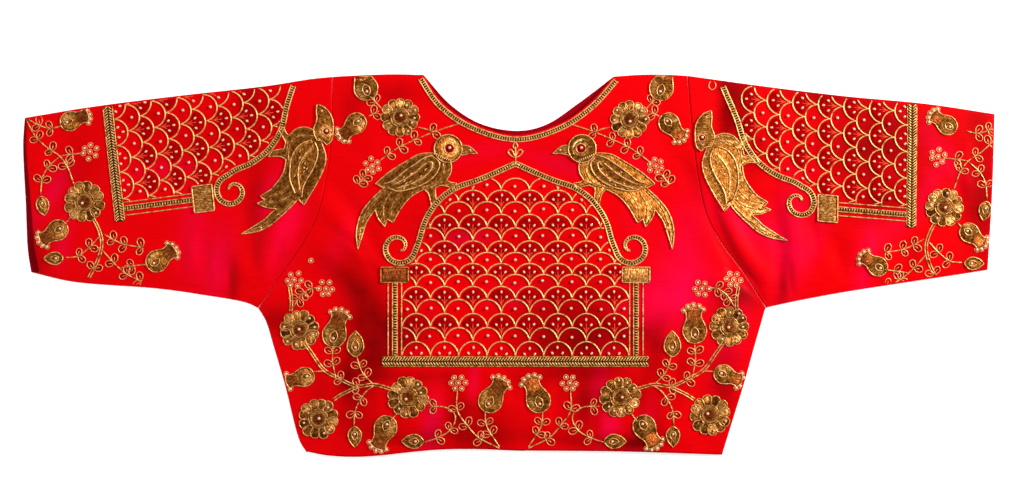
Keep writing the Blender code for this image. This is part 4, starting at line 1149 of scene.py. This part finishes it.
# The tops of the rows above the base bar; the back's were drawn, a sleeve's are even
ROW_TOPS = (18.9, 32.2, 45.6, 59, 71.4, 82.8, 93.3, 103.8, 114.8, 127.2, 140.1, 152.1, 163.1, 174.5)
SLEEVE_ROW_TOPS = tuple(17 + 12.65 * k for k in range(13))
LATTICE_FOOT, SCALE_WIDTH, SLEEVE_SCALE_WIDTH, SCALE_BEND = 4.9, 27.0, 26.3, 86


def dull_thread(name, dark, light, rough):
    """Plain embroidery thread with a fine twist."""
    matt = {"Roughness": rough, "Specular IOR Level": 0.05, "Specular Tint": (1.0, 0.1, 0.1, 1)}
    material, add, link = new_material(name, matt)
    fine = noise(add, add("ShaderNodeTexCoord").outputs["Object"], 900, 2)
    link(ramp(add, fine, [(0.35, dark), (0.65, light)]), "Base Color")
    bump = add("ShaderNodeBump", {"Height": fine, "Strength": 0.3, "Distance": 0.0002})
    link(bump.outputs["Normal"], "Normal")
    return material


ROSE = dull_thread("rose_thread", (0.58, 0.03, 0.015), (0.76, 0.10, 0.04), 0.5)
# Dark red thread, also used as painted shade in the lattice and inside the leaves
DARK_RED_AND_SHADE = dull_thread("dark_red_thread_and_painted_shade", (0.20, 0.0, 0.0), (0.34, 0.0, 0.001), 0.6)
MAROON = dull_thread("maroon_thread", (0.16, 0.0, 0.001), (0.26, 0.0, 0.002), 0.6)


def arch_inside(block_width):
    """The outline of what an arch's border, columns and bar enclose."""
    curve = arch_half(block_width)[0][:84]
    curve = curve + sideways(curve) * -(BORDER_WIDTH / 2)
    scroll_y = ARCH_BLOCK_Y + block_width / 2 + SCROLL_ABOVE_BLOCK
    above, below = ARCH_BLOCK_Y + block_width / 2 + 1.8, ARCH_BLOCK_Y - block_width / 2 - 0.8
    beside_scroll = [(94.6, scroll_y - 9.5), (97.6, scroll_y - 13.4)]
    right = np.vstack([curve, *beside_scroll, (101.2, above), (101.2, below), (108.4, below), (108.4, 4.8)])
    return np.vstack([right, right[::-1] * (-1, 1)])


def scale_curve(middle, top, drop, pitch, bends, away=0.0):
    """Points of a scale's curve at these angles from its top, or of a line that far outside it."""
    bend, last = np.radians(bends), math.radians(SCALE_BEND)
    x = middle + (pitch / 2 + away) * np.sin(bend) / math.sin(last)
    y = top + away - (drop + away) * (1 - np.cos(bend)) / (1 - math.cos(last))
    return np.stack([x, y], axis=1)


lattice, beads, sprigs, shades = [], [], [], []
for name, (_, _, turn_deg, _, _, _, block_width, _, halves) in ARCHES.items():
    here, inside = on_arch(name), arch_inside(block_width)
    on_back = name == "back"
    tops, pitch = (ROW_TOPS, SCALE_WIDTH) if on_back else (SLEEVE_ROW_TOPS, SLEEVE_SCALE_WIDTH)
    paths, singles, triples, strokes, shaded_grounds = [], [], [], [], []
    for row, top in enumerate(tops):
        drop = top - (tops[row - 1] if row else LATTICE_FOOT)
        for k in range(-5, 6):
            middle = pitch * (k + (0.5 if row % 2 == 0 else 0))
            if len(halves) == 1 and middle * halves[0] < -15:
                continue
            arc = scale_curve(middle, top, drop, pitch, np.linspace(-SCALE_BEND, SCALE_BEND, 42))
            paths += [here(s) for s in stretches(arc, lambda p: in_polygon(inside, p))]
            wander = rng.normal(0, 0.7, 2)
            if row % 2:
                cut = 4.5 if abs(middle) > 100 else 0
                singles.append((middle - math.copysign(cut, middle), top - 0.62 * drop) + wander)
                continue
            for dx, dy, lean in ((0, 0.42, 90), (-4.9, 0.8, 125), (4.9, 0.8, 55)):
                triples.append((*((middle + dx, top - dy * drop) + wander * 0.5), turn_deg + lean))
            if row == 0:
                continue
            cusp = np.array([middle, top - 1.5 * drop])
            strokes.append(np.linspace(cusp, (middle, top - 0.72 * drop), 9))
            for side in (-1, 1):
                bend, tip = (middle + side * 1.4, top - 1.12 * drop), (middle + side * 2.9, top - 0.98 * drop)
                strokes.append(smooth_line([cusp + (0, 1.5), bend, tip], 6))
            # A darker ground in each three-bead scale, partly dark red stitching and partly painted shade
            below = (tops[row - 1], tops[row - 1] - tops[row - 2], pitch)
            fan = scale_curve(middle, top, drop, pitch, np.linspace(-70, 70, 15), -2.2)
            for side in (1, -1):
                bends = np.linspace(10, 58, 7)[::side] * -side
                fan = np.vstack([fan, scale_curve(middle + side * pitch / 2, *below, bends, 2.1)])
            fan = fan[in_polygon(inside, fan) & on_blouse(here(fan), 2.0)]
            if len(fan) > 14:
                shaded_grounds.append(fan)
    lattice += cords(paths, 0.76, 0.9)
    for spots, length, size in ((singles, 3.0, 3.0), (triples, 3.3, 2.3)):
        # A single bead is round, so it has no turn of its own
        spots = np.array([(*s, 0)[:3] for s in spots])
        near = distance_to(closed(inside), spots[:, :2])[0]
        spots = spots[in_polygon(inside, spots[:, :2]) & (near > 1.0)]
        flat, turns = here(spots[:, :2]), spots[:, 2]
        kept = on_blouse(flat, 2.5)
        beads += grains(flat[kept], length, size, size, turns[kept], around=8, rings=6)
    sprigs += cords([here(s) for s in strokes if in_polygon(inside, s).all()], 0.46, step=1.4)
    for fan in shaded_grounds:
        shades += fill(here(fan), 0.25, pitch=2.2)
joined("scale_lattice", lattice, GOLD)
joined("lattice_beads", beads, PEARL)
joined("lattice_sprigs", sprigs, ROSE)
joined("lattice_shades", shades, DARK_RED_AND_SHADE)


# BIRDS
# Two long-tailed birds stand on the back's arch and one on each sleeve's, turned to look back. Each is
# padded satin stitch in gold thread with corded edges, and its wing is worked in nested bands, darker
# between its raised lines, partly from its stitching and partly as painted shade.

# Each bird's x and y, its turn in degrees, its scale, which way up it is, and its pose
BIRDS = {
    "back_left": ((-96.5, 82, 37, 1.0, 1), "ahead"),
    "back_right": ((108.5, 82, 143, 1.0, -1), "ahead"),
    "sleeve_left": ((-199, 88, 68, 1.0, -1), "turned"),
    "sleeve_right": ((209, 82, 112, 1.0, 1), "turned"),
}
# Each bird's outline in its own frame, head along +x and back up +y, in curves that meet at corners
BIRD_BODY = (
    ((35, 5), (24, 12), (8, 14.6), (-10, 16), (-27, 15)),
    ((-27, 15), (-23, 7)),
    ((-23, 7), (-38, 5.5), (-54, 1), (-68, -9.5), (-78, -25)),
    ((-78, -25), (-67, -17), (-55, -8.8), (-42, -4.5)),
    ((-42, -4.5), (-44.6, -13), (-44.5, -23)),
    ((-44.5, -23), (-38, -18.5)),
    ((-38, -18.5), (-36, -24.5)),
    ((-36, -24.5), (-20, -17.8), (-6, -15.2), (7, -17)),
    ((7, -17), (7.6, -23), (3.2, -33.5)),
    ((3.2, -33.5), (10, -32)),
    ((10, -32), (13, -27), (16, -22.5)),
    ((16, -22.5), (22, -23.5)),
    ((22, -23.5), (26, -28), (29.5, -33.5)),
    ((29.5, -33.5), (35, -31)),
    ((35, -31), (31, -27), (29, -23)),
    ((29, -23), (37, -19.5), (42.5, -12), (43, -4)),
)
BIRD_HEAD = ((48.5, 0), 13.2)
HEAD_TURNED = (
    ((66.8, -9.4), (66.4, -0.6), (60.6, 8.4), (50, 14), (39.5, 16.4), (34.4, 13.8)),
    ((34.4, 13.8), (36.4, 8.6), (35, 3.4)),
    ((35, 3.4), (42, -3), (53, -4), (60.6, -7.6), (66.8, -9.4)),
)
BIRD_BROW = (
    *((47, 9.4), (54.6, 7.6), (58.4, 0), (55.6, -6.6), (50, -9.8)),
    *((54, -6), (55.9, 0), (53, 6), (47, 9.4)),
)
BIRD_BEAK = (
    ((60, -4.5), (65.5, -10), (68, -20.5)),
    ((68, -20.5), (61, -15.5), (53, -12)),
    ((53, -12), (58, -9), (60, -4.5)),
)
BIRD_FEATHERS = (
    ((-24, 5), (-45, 1), (-62, -9), (-74, -21)),
    ((-20, 0), (-33, -6), (-42, -19)),
    ((-12, -6), (-26, -11), (-35, -20)),
    ((4, -14), (22, -19), (33, -14), (38, -3)),
    ((10, -18), (24, -22)),
)
BIRD_EYES = {"ahead": (49.5, -0.5), "turned": (46, 8.6)}
# The wing's light lines from the neck to its tip, the one along the back first, the breast's last
WINGS = {
    "ahead": (
        ((33, 3.6), (26, 6.4), (15.8, 7.2), (2.2, 7.8), (-12.5, 7.4), (-21, 10.5)),
        (
            *((-13.5, 4.2), (-6, 2.4), (8, 0.8), (18.9, 1.4), (26, 1), (28.4, -1.6)),
            *((25.6, -5), (18, -7.4), (6, -6.9), (-5.7, -3.6), (-13, -1)),
        ),
        ((33.4, 0), (33.6, -6), (28.5, -10.8), (19, -13.4), (8, -12.6), (-4, -8.8), (-14, -3.6), (-20, 5)),
    ),
    "turned": (
        ((33, 2), (26.4, 7.8), (18, 10.2), (6.8, 10.1), (-3.2, 8.5), (-12.4, 8.3), (-21, 10.6)),
        ((26, 1.5), (15.9, -2.2), (7.1, -3.3), (-2.1, -0.7), (-15.1, 6.1)),
        ((33.4, -1), (27.6, -8), (19.4, -12), (8.9, -12.6), (-0.9, -9.8), (-9, -6.5), (-20, 3.3)),
    ),
}


def circle(radius, x=0.0, y=0.0, count=40):
    turn = np.linspace(0, 2 * math.pi, count, endpoint=False)
    return np.stack([x + radius * np.cos(turn), y + radius * np.sin(turn)], axis=1)


def bent(points, pose):
    """A bird's points in its pose: one that looks back has a fuller shoulder and a lower tail."""
    if pose == "ahead":
        return points
    x, y = np.asarray(points, float).T
    shoulder = 5.5 * np.exp(-(((x - 16) / 24) ** 2)) * np.clip((y + 17) / 12, 0, 1)
    tail = np.clip((-25 - x) / 25, 0, 1)
    return np.stack([x + 3 * tail, y + shoulder - 5 * tail], axis=1)


def outlined(curves):
    """A closed outline from curves that meet at corners."""
    return np.vstack([along(smooth_line(c), np.linspace(0, 1, 24))[:-1] for c in curves])


def tone_by_distance(lines, near, far, reach):
    """A tone that changes from near some lines to away from them."""

    def tone(points):
        gap = np.min([distance_to(line, points)[0] for line in lines], axis=0)
        return near + (far - near) * np.clip(gap / reach, 0, 1)

    return tone


for name, (where, pose) in BIRDS.items():
    _, _, turn_deg, _, mirror = where
    # The right sleeve's bird is worked in lighter thread
    light = 0.12 if name == "sleeve_right" else 0.0
    body = placed(bent(outlined(BIRD_BODY), pose), *where)
    head = placed(circle(BIRD_HEAD[1], *BIRD_HEAD[0]) if pose == "ahead" else outlined(HEAD_TURNED), *where)
    lines = [placed(smooth_line(line), *where) for line in WINGS[pose]]
    wing = np.vstack([lines[0], lines[2][::-1]])
    feathers = [placed(bent(smooth_line(f), pose), *where) for f in BIRD_FEATHERS]
    eye = placed([BIRD_EYES[pose]], *where)
    body_tone = tone_by_distance([body, *feathers], 0.52 + light, 0.24 + light, 3.4)
    parts = fill(body, 1.1, body_tone, turn_deg + 24 * mirror)
    # The wing is lighter next to its raised lines and darker between them, partly its stitching and partly
    # painted shade
    wing_tone = tone_by_distance(lines, 0.6 + light, 0.2 + light, 3.0)
    parts += fill(wing, 0.8, wing_tone, turn_deg - 12 * mirror, lift=1.0, edge=3)
    parts += cords(lines, 0.7, 0.88, 1.7)
    feathery = placed(np.stack([rng.uniform(-8, 26, 9), rng.uniform(-9, 5, 9)], axis=1), *where)
    parts += grains(feathery, 3.6, 1.3, 1.1, turn_deg + 15 * mirror, 0.9, 1.8)
    # Painted highlight: the head is lighter in a ring round its eye
    glow = circle(6.6) if pose == "ahead" else circle(5.0)
    parts += fill(head, 1.3, tone_by_distance([eye + glow], 0.66, 0.26 + light, 2.4), turn_deg + 60, lift=0.7)
    parts += cords([closed(head)], 0.6, 0.86, 1.3) + cords([closed(body)], 0.6, 0.84, 0.7)
    if pose == "ahead":
        beak = placed(outlined(BIRD_BEAK), *where)
        parts += fill(beak, 1.2, 0.5, turn_deg - 40 * mirror, lift=0.4)
        parts += cords([closed(beak)], 0.5, 0.84, 1.0)
        specks, ring = placed([(64.5, -13.6)], *where), 4.6
        throat = placed(smooth_line([(35.5, 4), (39, -3), (44, -10.5)]), *where)
        parts += grains(along(throat, np.linspace(0, 1, 9)), 3.0, 1.7, 1.4, turn_deg + 20 * mirror, 0.92, 1.5)
        brow = smooth_line(BIRD_BROW, 5)[:-1]
        parts += fill(placed(brow, *where), 0.5, 0.86, turn_deg, lift=1.7, pitch=1.3)
        parts += fill(placed(oblong(2.6, 8.4, 60.2, -1.4), *where), 0.3, 0.0, turn_deg, lift=1.5, pitch=1.3)
    else:
        specks, ring = placed([(62.7, -2.6)], *where), 3.4
    parts += cords(feathers, 0.5, 0.66, 1.0)
    parts += cords([closed(eye + circle(ring))], 0.5, 0.92, 2.0)
    joined(f"bird_{name}_stitched", parts, GOLD, [f"bird_{name}"])
    joined(f"bird_{name}_eye", fill(eye + circle(ring - 0.2), 0.5, 0.2, lift=1.9), MAROON)
    pearls = grains(eye + (0.4, 0.6), 3.0, 3.0, 2.8, lift=2.2, around=10, rings=7)
    pearls += grains(specks, 2.2, 2.2, 2.0, lift=1.7, around=8, rings=5)
    on_feathers = placed([(-62, -14.5 if pose == "turned" else -11.5), (6, 2)], *where)
    pearls += grains(on_feathers, 2.0, 2.0, 1.8, lift=1.6, around=8, rings=5)
    joined(f"bird_{name}_beads", pearls, PEARL)


# FLOWERS
# Ten round flowers of twelve cupped petals. Each petal is padded gold satin stitch in a corded loop,
# some with a bead in it, round a red-brown middle in a ring of small stitches.

# Each flower's x and y, and its radius
FLOWERS = {
    "shoulder_left": (-103.6, 141, 18),
    "shoulder_right": (115, 139, 18),
    "side_left": (-199.5, -61.5, 18.5),
    "side_right": (210, -58.5, 18.5),
    "hem_left": (-181.5, -146, 19),
    "hem_right": (191.5, -142.5, 19),
    "waist_left": (-96, -125.5, 19),
    "waist_right": (106, -125.5, 19),
    "cuff_left": (-404, 60.5, 19),
    "cuff_right": (414.5, 55.5, 18),
}
PETALS, RING_STITCHES = 12, 34
FLOWER_RADIUS, DISC_RADIUS, RING_RADIUS, MIDDLE_RADIUS = 19, 9.2, 7.4, 5.9
PETAL_EDGE = (
    *((8.4, 0), (11, -3.2), (15.2, -4.5), (18.6, -2.8)),
    *((19.3, 0), (18.6, 2.8), (15.2, 4.5), (11, 3.2)),
)
PETAL = closed(smooth_line(PETAL_EDGE, 4))


for name, (x, y, radius) in FLOWERS.items():
    scale = radius / FLOWER_RADIUS
    first = rng.uniform(0, 30)
    disc = placed(circle(DISC_RADIUS), x, y, 0, scale)
    parts, pearls = fill(disc, 1.0, 0.35), []
    for k in range(PETALS):
        turn_deg = first + 360 * (k + rng.normal(0, 0.06)) / PETALS
        where = (x, y, turn_deg, scale * rng.uniform(0.96, 1.04))
        tone = rng.choice([0.1, 0.2, 0.34, 0.46])
        # Each petal has its own random tone, with a painted highlight, or in some petals a darker streak,
        # along a short line across its outer part
        bright = placed([(12, rng.uniform(-2, 2)), (17, rng.uniform(-2, 2))], *where)
        petal_tone_and_glint = tone_by_distance([bright], tone + rng.choice([-0.1, 0.24]), tone + 0.08, 3.4)
        slant = turn_deg + rng.uniform(-30, 30)
        parts += fill(placed(PETAL[:-1], *where), 1.1, petal_tone_and_glint, slant, edge=1.6, pitch=1.7)
        parts += cords([placed(PETAL, *where)], 0.5, 0.74, 0.5)
        if rng.random() < 0.45:
            spot = placed([(rng.uniform(13, 16.5), rng.uniform(-1.2, 1.2))], *where)
            pearls += grains(spot, 2.4, 2.4, 2.1, lift=1.0, around=8, rings=6)
    ring = placed(circle(RING_RADIUS, count=RING_STITCHES), x, y, 0, scale)
    spokes = np.linspace(0, 360, RING_STITCHES, endpoint=False)
    parts += fill(disc, 0.7, 0.4, lift=0.9, edge=0.8)
    parts += grains(ring, 2.9, 0.9, 1.0, spokes, 0.5 + 0.25 * rng.random(RING_STITCHES), 1.6)
    parts += cords([closed(disc)], 0.5, 0.66, 1.3)
    joined(f"flower_{name}_stitched", parts, GOLD, [f"flower_{name}"])
    middle = placed(circle(MIDDLE_RADIUS), x, y, 0, scale)
    joined(f"flower_{name}_middle", fill(middle, 0.7, 0.22, lift=1.2), COPPER)
    centre = [(x + rng.uniform(-2.5, 2.5), y + rng.uniform(-2, 2))]
    pearls += grains(centre, 3.0, 3.0, 2.8, lift=2.0, around=10, rings=7)
    joined(f"flower_{name}_beads", pearls, PEARL)


# BUDS AND DROPS
# Buds with a round gold foot, a copper flare and a crown of beads, and pointed drops with a bead in
# an inner loop. The ones at a seam are cut off by it.

# Each bud's x and y, its turn in degrees and its scale
BUDS = {
    "shoulder_left": (-145, 136, 223, 0.85),
    "shoulder_right": (152, 136, -49, 0.85),
    "side_left": (-166.5, -67, 74, 1.0),
    "side_right": (177, -63.5, 93, 1.0),
    "edge_left": (-194, -106, 196, 0.8),
    "edge_right": (204, -103.5, -22, 0.8),
    "hem_left": (-117, -153.5, 247, 0.95),
    "hem_right": (128.5, -153, -59, 0.95),
    "middle_left": (-18, -129.5, 59, 1.0),
    "middle_right": (28.5, -129.5, 112, 1.0),
    "cuff_left_top": (-419, 137, 20, 0.8),
    "cuff_left_edge": (-429, 34, 212, 0.85),
    "cuff_left_foot": (-336, 3.5, 35, 0.9),
    "cuff_right_top": (418.5, 133, 145, 0.8),
    "cuff_right_edge": (438, 31.5, -40, 0.8),
    "cuff_right_foot": (352, -1.5, 146, 0.8),
}
# Two more at the tops of the shoulders, too near the pressed edge to stand up there
FLAT_BUDS = {"top_left": (-136, 168, 108, 1.0), "top_right": (145, 168, 72, 1.0)}
BUD_SIDE = ((-11, 0), (-8.5, 7), (0, 11.3), (7.5, 9.6), (12.5, 7.4), (17, 7.2), (21.5, 8.6))
BUD_CROWN = ((21.5, 8.6), (23.4, 4), (24, 0), (23.4, -4), (21.5, -8.6))
BUD_LOOP = ((5, 0), (1, 3.4), (-4, 2.8), (-6.5, 0), (-4, -2.8), (1, -3.4), (5, 0))
BUD_BEADS = ((21, -9.4), (24.6, -5.4), (26, 0), (24.6, 5.4), (21, 9.4))
FLARE_FROM, BUD_RING_RADIUS = 10.5, 2.3
# Drops of one half, x away from the middle, with their turn in degrees and their scale
DROPS = {
    "waist": (150.9, -75.4, 90, 1.0),
    "foot": (151.6, -162.8, -90, 0.8),
    "hem": (96, -167.6, 0, 0.85),
    "sleeve": (448.7, 57.1, -100, 0.75),
    "cuff": (438.2, 6.7, 0, 0.75),
}
DROP = smooth_line([(12, 0), (5, 5.6), (-4, 6.8), (-10.5, 0), (-4, -6.8), (5, -5.6), (12, 0)], 6)


def trimmed(outline, margin=1.6):
    """A closed outline cut off a little inside the blouse's edges."""
    kept = on_blouse(outline, margin)
    if kept.all():
        return outline
    at = distance_to(BLOUSE, outline)[1] * (len(BLOUSE) - 1)
    edge = np.stack([np.interp(at, np.arange(len(BLOUSE)), BLOUSE[:, k]) for k in (0, 1)], axis=1)
    pull = outline[kept].mean(axis=0) - edge
    pull /= np.linalg.norm(pull, axis=1)[:, None]
    return np.where(kept[:, None], outline, edge + pull * (margin + 0.2))


for name, where in {**BUDS, **FLAT_BUDS}.items():
    turn_deg = where[2]
    half = smooth_line(BUD_SIDE, 8)
    own = np.vstack([half[:-1], smooth_line(BUD_CROWN, 5)[:-1], half[:0:-1] * (1, -1)])
    flare = own[own[:, 0] > FLARE_FROM]
    flare = np.vstack([flare, smooth_line([flare[-1], (FLARE_FROM - 4, 0), flare[0]], 6)[1:-1]])
    outline = trimmed(placed(own, *where))
    # Painted highlight: the foot is lighter near two spots along one side
    glow = tone_by_distance([placed([(-6, 6), (4, 7)], *where)], 0.62, 0.28, 5)
    nodes = [] if name in FLAT_BUDS else [f"bud_{name}"]
    satin = fill(trimmed(placed(flare, *where)), 1.15, 0.38, turn_deg, lift=0.3)
    joined(f"bud_{name}_flare", satin, COPPER, nodes)
    loop = placed(smooth_line(BUD_LOOP, 5), *where)
    parts = fill(outline, 1.3, glow, turn_deg + 90) + cords([closed(outline)], 0.58, 0.8, 0.6)
    parts += cords([loop], 0.5, 0.9, 1.5)
    crown = placed(BUD_BEADS, *where)
    crown = crown[on_blouse(crown, 2.0)]
    centre = placed([(-2.5, 0)], *where)
    pearls = grains(centre, 2.8, 2.8, 2.4, lift=1.7, around=8, rings=6)
    if len(crown):
        parts += cords([closed(c + circle(BUD_RING_RADIUS, count=14)) for c in crown], 0.4, 0.8, step=0.8)
        pearls += grains(crown, 3.0, 3.0, 2.8, around=10, rings=7)
    joined(f"bud_{name}_foot", parts, GOLD)
    joined(f"bud_{name}_beads", pearls, PEARL)


# The middle of the fine pattern, where its sleeves' part starts, and how much lower the right one lies
PATTERN_X, SLEEVE_FROM, RIGHT_SLEEVE_DROP = 4.8, 300, 4.8


def both_sides(x, y, side):
    """A point of the half pattern on the left (-1) or right (1), the right sleeve's a little lower."""
    return PATTERN_X + side * x, y - (RIGHT_SLEEVE_DROP if side > 0 and x > SLEEVE_FROM else 0)


drops, drop_beads = [], []
for x, y, turn_deg, scale in DROPS.values():
    for side in (-1, 1):
        where = (*both_sides(x, y, side), turn_deg if side > 0 else 180 - turn_deg, scale * 1.1)
        outline = trimmed(placed(DROP, *where)[:-1])
        drops += fill(outline, 1.1, 0.3, where[2], pitch=1.5) + cords([closed(outline)], 0.58, 0.8, 0.5)
        drops += cords([placed(DROP * 0.45 - (1, 0), *where)], 0.45, 0.86, 1.2)
        drop_beads += grains(placed([(-2.5, 0)], *where), 2.6, 2.6, 2.2, lift=1.3, around=8, rings=6)
joined("drops", drops, GOLD)


# VINES, LEAVES AND ROSETTES
# Thin stems of couched cord join the flowers, with small looped leaves of a lighter thread along them,
# and rosettes of seven beads, each sewn down in a ring of that thread.

VINE = gold_thread("vine_thread", (0.38, 0.06, 0.02), (0.76, 0.23, 0.08), (0.96, 0.50, 0.22))
# The first stretches of four long stems
BRANCH_TOP = ((201, -72), (194, -81.6), (180.5, -99.8), (167.5, -107.4))
HOOKED_TOP = ((81.2, -134.3), (65.6, -135.2), (56.9, -141.1))
NECK_SPRAY = ((53.1, 134.8), (76.1, 127.2), (95.7, 119))
CUFF_TRAIL = ((465.5, 140.5), (456.4, 123.7), (445, 112.5))
# Stems of one half, x away from the middle: how many cords, where its leaves are, and its line
STEMS = (
    (2, (0.5, 0.66), (*BRANCH_TOP, (149.3, -115.1), (134, -113.6), (113, -119))),
    (2, (), ((149.3, -115.8), (166.2, -124.2), (172, -128.4))),
    (1, (0.25, 0.6), ((172, -75.4), (172.9, -89.2), (169.8, -107.4))),
    (1, (), ((192, -101.3), (180.5, -100.6))),
    (1, (0.35, 0.7), ((150, -86), (144.7, -101.3), (134, -113.6))),
    (1, (0.3, 0.65), ((152.3, -153), (150.9, -138), (141.6, -121), (134, -115))),
    (1, (0.1, 0.62, 0.83), (*HOOKED_TOP, (55.9, -147.9), (61.7, -157.7), (73.5, -164.5), (85.1, -168.4))),
    (1, (0.25, 0.5, 0.75), ((53.9, -119), (53.9, -138.2), (44.1, -152.8), (34.4, -163.5), (13.8, -174.3))),
    (1, (0.32, 0.62), ((27.5, -139.4), (26, -153), (13.8, -173))),
    (1, (), ((111.3, -141), (117.5, -148.5))),
    (2, (), ((213.9, -20), (212, -32), (212.5, -44))),
    (1, (0.3, 0.55, 0.8), ((210.2, -40), (202.6, -28.2), (193.5, -22.2), (186, -21.5))),
    (1, (0.5,), ((137.6, 161.7), (125.3, 148.6))),
    (1, (0.6,), ((128.5, 147), (138.5, 142))),
    (1, (0.3, 0.52, 0.7, 0.86), (*NECK_SPRAY, (109.6, 112.4), (121.9, 104.2), (130.2, 97.6))),
    (1, (), ((91.5, 131.6), (84, 129.8), (76.1, 127.2))),
    (1, (0.45, 0.95), ((139.4, 88), (148.3, 77))),
    (1, (0.3, 0.52, 0.78), (*CUFF_TRAIL, (432.6, 104), (425.5, 94.3), (419.2, 77.5))),
    (1, (0.42, 0.74), ((465.5, 140.5), (452.2, 133.5), (442.4, 130.6), (431.2, 132.7))),
    (1, (0.5,), ((432.6, 104), (424, 105.5), (409, 107))),
    (1, (0.35, 0.7), ((434, 102.7), (443, 94.3), (448.7, 84.5), (450.8, 67.6))),
    (1, (), ((422.8, 45.4), (426.2, 41))),
    (2, (0.85,), ((401, 45.4), (395.4, 34), (392.6, 21.5), (396, 6.2), (405.2, -11.9))),
    (1, (0.35, 0.7), ((395.4, 27), (404.5, 17.2), (415.7, 8.8), (427, 7.4))),
    (1, (0.3, 0.6, 1.0), ((390.6, 29.8), (380.7, 24.2), (371, 20), (354, 17.2))),
    (1, (0.35, 0.7, 1.0), ((392, 14.4), (382, 3.2), (369.6, -8), (355.5, -15))),
    (1, (0.5,), ((375, -2.4), (361, -0.3), (350, 1))),
)
LEAF = smooth_line([(0, 0), (3, 2.5), (6.6, 2.3), (8, 0), (6.6, -2.3), (3, -2.5), (0, 0)], 5)
# Rosettes of one half, x away from the middle, and the turn of their ring of beads
ROSETTES = ((209.4, -13.8, 0), (179, -22.2, 0), (53.1, -112, 0), (135, 94.4, 40), (403.9, 108.3, 20))
ROSETTE_RADIUS, BEAD_LOOP_RADIUS, STEM_PLY = 6.4, 2.4, 1.1

singles, loops, leaf_painted_shade = [], [], []
for side in (-1, 1):
    for count, leaves, points in STEMS:
        line = smooth_line([both_sides(x, y, side) for x, y in points])
        offsets = (-STEM_PLY, STEM_PLY) if count == 2 else (0,)
        singles += [line + sideways(line) * offset for offset in offsets]
        for share in leaves:
            spot = along(line, [share])[0]
            step = along(line, [max(0, share - 0.03)])[0] - along(line, [min(1, share + 0.03)])[0]
            heading = math.degrees(math.atan2(step[1], step[0]))
            for lean in (-1, 1):
                where = (*spot, heading + lean * rng.uniform(46, 66), rng.uniform(0.95, 1.15))
                leaf = placed(LEAF, *where)
                loops += [leaf, placed([(1.5, 0), (3, 0.2), (5.2, 0)], *where)]
                # Painted shade: a thin dark red patch inside each leaf that lies clear of the edges
                if on_blouse(leaf, 2.5).all():
                    leaf_painted_shade += fill(leaf[:-1], 0.1, pitch=1.3)
vines = cords(singles, 0.7, 0.74)
spots = []
for x, y, turn_deg in ROSETTES:
    for side in (-1, 1):
        middle = np.array(both_sides(x, y, side))
        ring = placed(circle(ROSETTE_RADIUS, count=6), 0, 0, turn_deg)
        spots += [middle, *(middle + ring + rng.normal(0, 0.5, (6, 2)))]
spots = np.array(spots + [(-188.6, 4.5)])
fold_loop = placed(LEAF * 1.2, 194, 177, -90)
around_bead = closed(circle(BEAD_LOOP_RADIUS, count=14))
loops += [s + around_bead for s in spots if on_blouse(s[None], 4)[0]] + [fold_loop]
joined("vines", vines, GOLD)
joined("leaves", cords(loops, 0.46, 0.66, step=1.0), VINE)
joined("leaf_painted_shade", leaf_painted_shade, DARK_RED_AND_SHADE)
spots = spots[on_blouse(spots, 2.5)]
rosette_beads = grains(spots, 2.7, 2.7, 2.6, around=10, rings=7)
joined("rosette_beads", drop_beads + rosette_beads, PEARL)


# TABLE, LIGHT AND CAMERA
# The blouse lies on a plain white table and is seen from straight above, with the key light from the
# right, so that the creases show. The table glows a little, so that no shadow darkens it.

CAMERA = (0.0029, 0.0181, 2.309)
TABLE_SIZE, TABLE_BELOW, BACKGROUND_LIGHT = 12, 0.0004, 0.34


def area_light(name, place, target, size, power):
    data = bpy.data.lights.new(name, "AREA")
    data.shape, data.size, data.energy = "DISK", size, power
    lamp = bpy.data.objects.new(name, data)
    lamp.location = place
    lamp.rotation_euler = (Vector(target) - Vector(place)).to_track_quat("-Z", "Y").to_euler()
    bpy.context.scene.collection.objects.link(lamp)


bpy.ops.mesh.primitive_plane_add(size=TABLE_SIZE)
table = bpy.context.object
table.name = "table"
table.location.z = -TABLE_BELOW
white_paint = {"Roughness": 0.9, "Emission Color": (1, 1, 1, 1), "Emission Strength": 0.45}
table_paint, add, link = new_material("table_paint", white_paint)
speckle = add("ShaderNodeTexNoise", {"Scale": 40, "Detail": 2})
link(ramp(add, speckle.outputs["Fac"], [(0.3, (0.86, 0.86, 0.86)), (0.7, (0.89, 0.89, 0.89))]), "Base Color")
table.data.materials.append(table_paint)

area_light("key_light", (1.6, 0.75, 1.05), (0, 0, 0), 0.6, 62)
area_light("fill_light", (-1.5, -0.3, 1.5), (-0.2, 0, 0), 1.2, 16)
area_light("top_light", (0.1, 0.9, 2.4), (0, 0, 0), 1.2, 16)
world = bpy.data.worlds.new("studio")
bpy.context.scene.world = world
world.use_nodes = True
background = world.node_tree.nodes["Background"]
background.inputs["Color"].default_value = (1, 1, 1, 1)
background.inputs["Strength"].default_value = BACKGROUND_LIGHT

camera_data = bpy.data.cameras.new("camera")
camera_data.lens = 85
camera_data.sensor_width = 36
camera = bpy.data.objects.new("camera", camera_data)
camera.location = CAMERA
bpy.context.scene.collection.objects.link(camera)
bpy.context.scene.camera = camera
bpy.context.scene.view_settings.view_transform = "Standard"
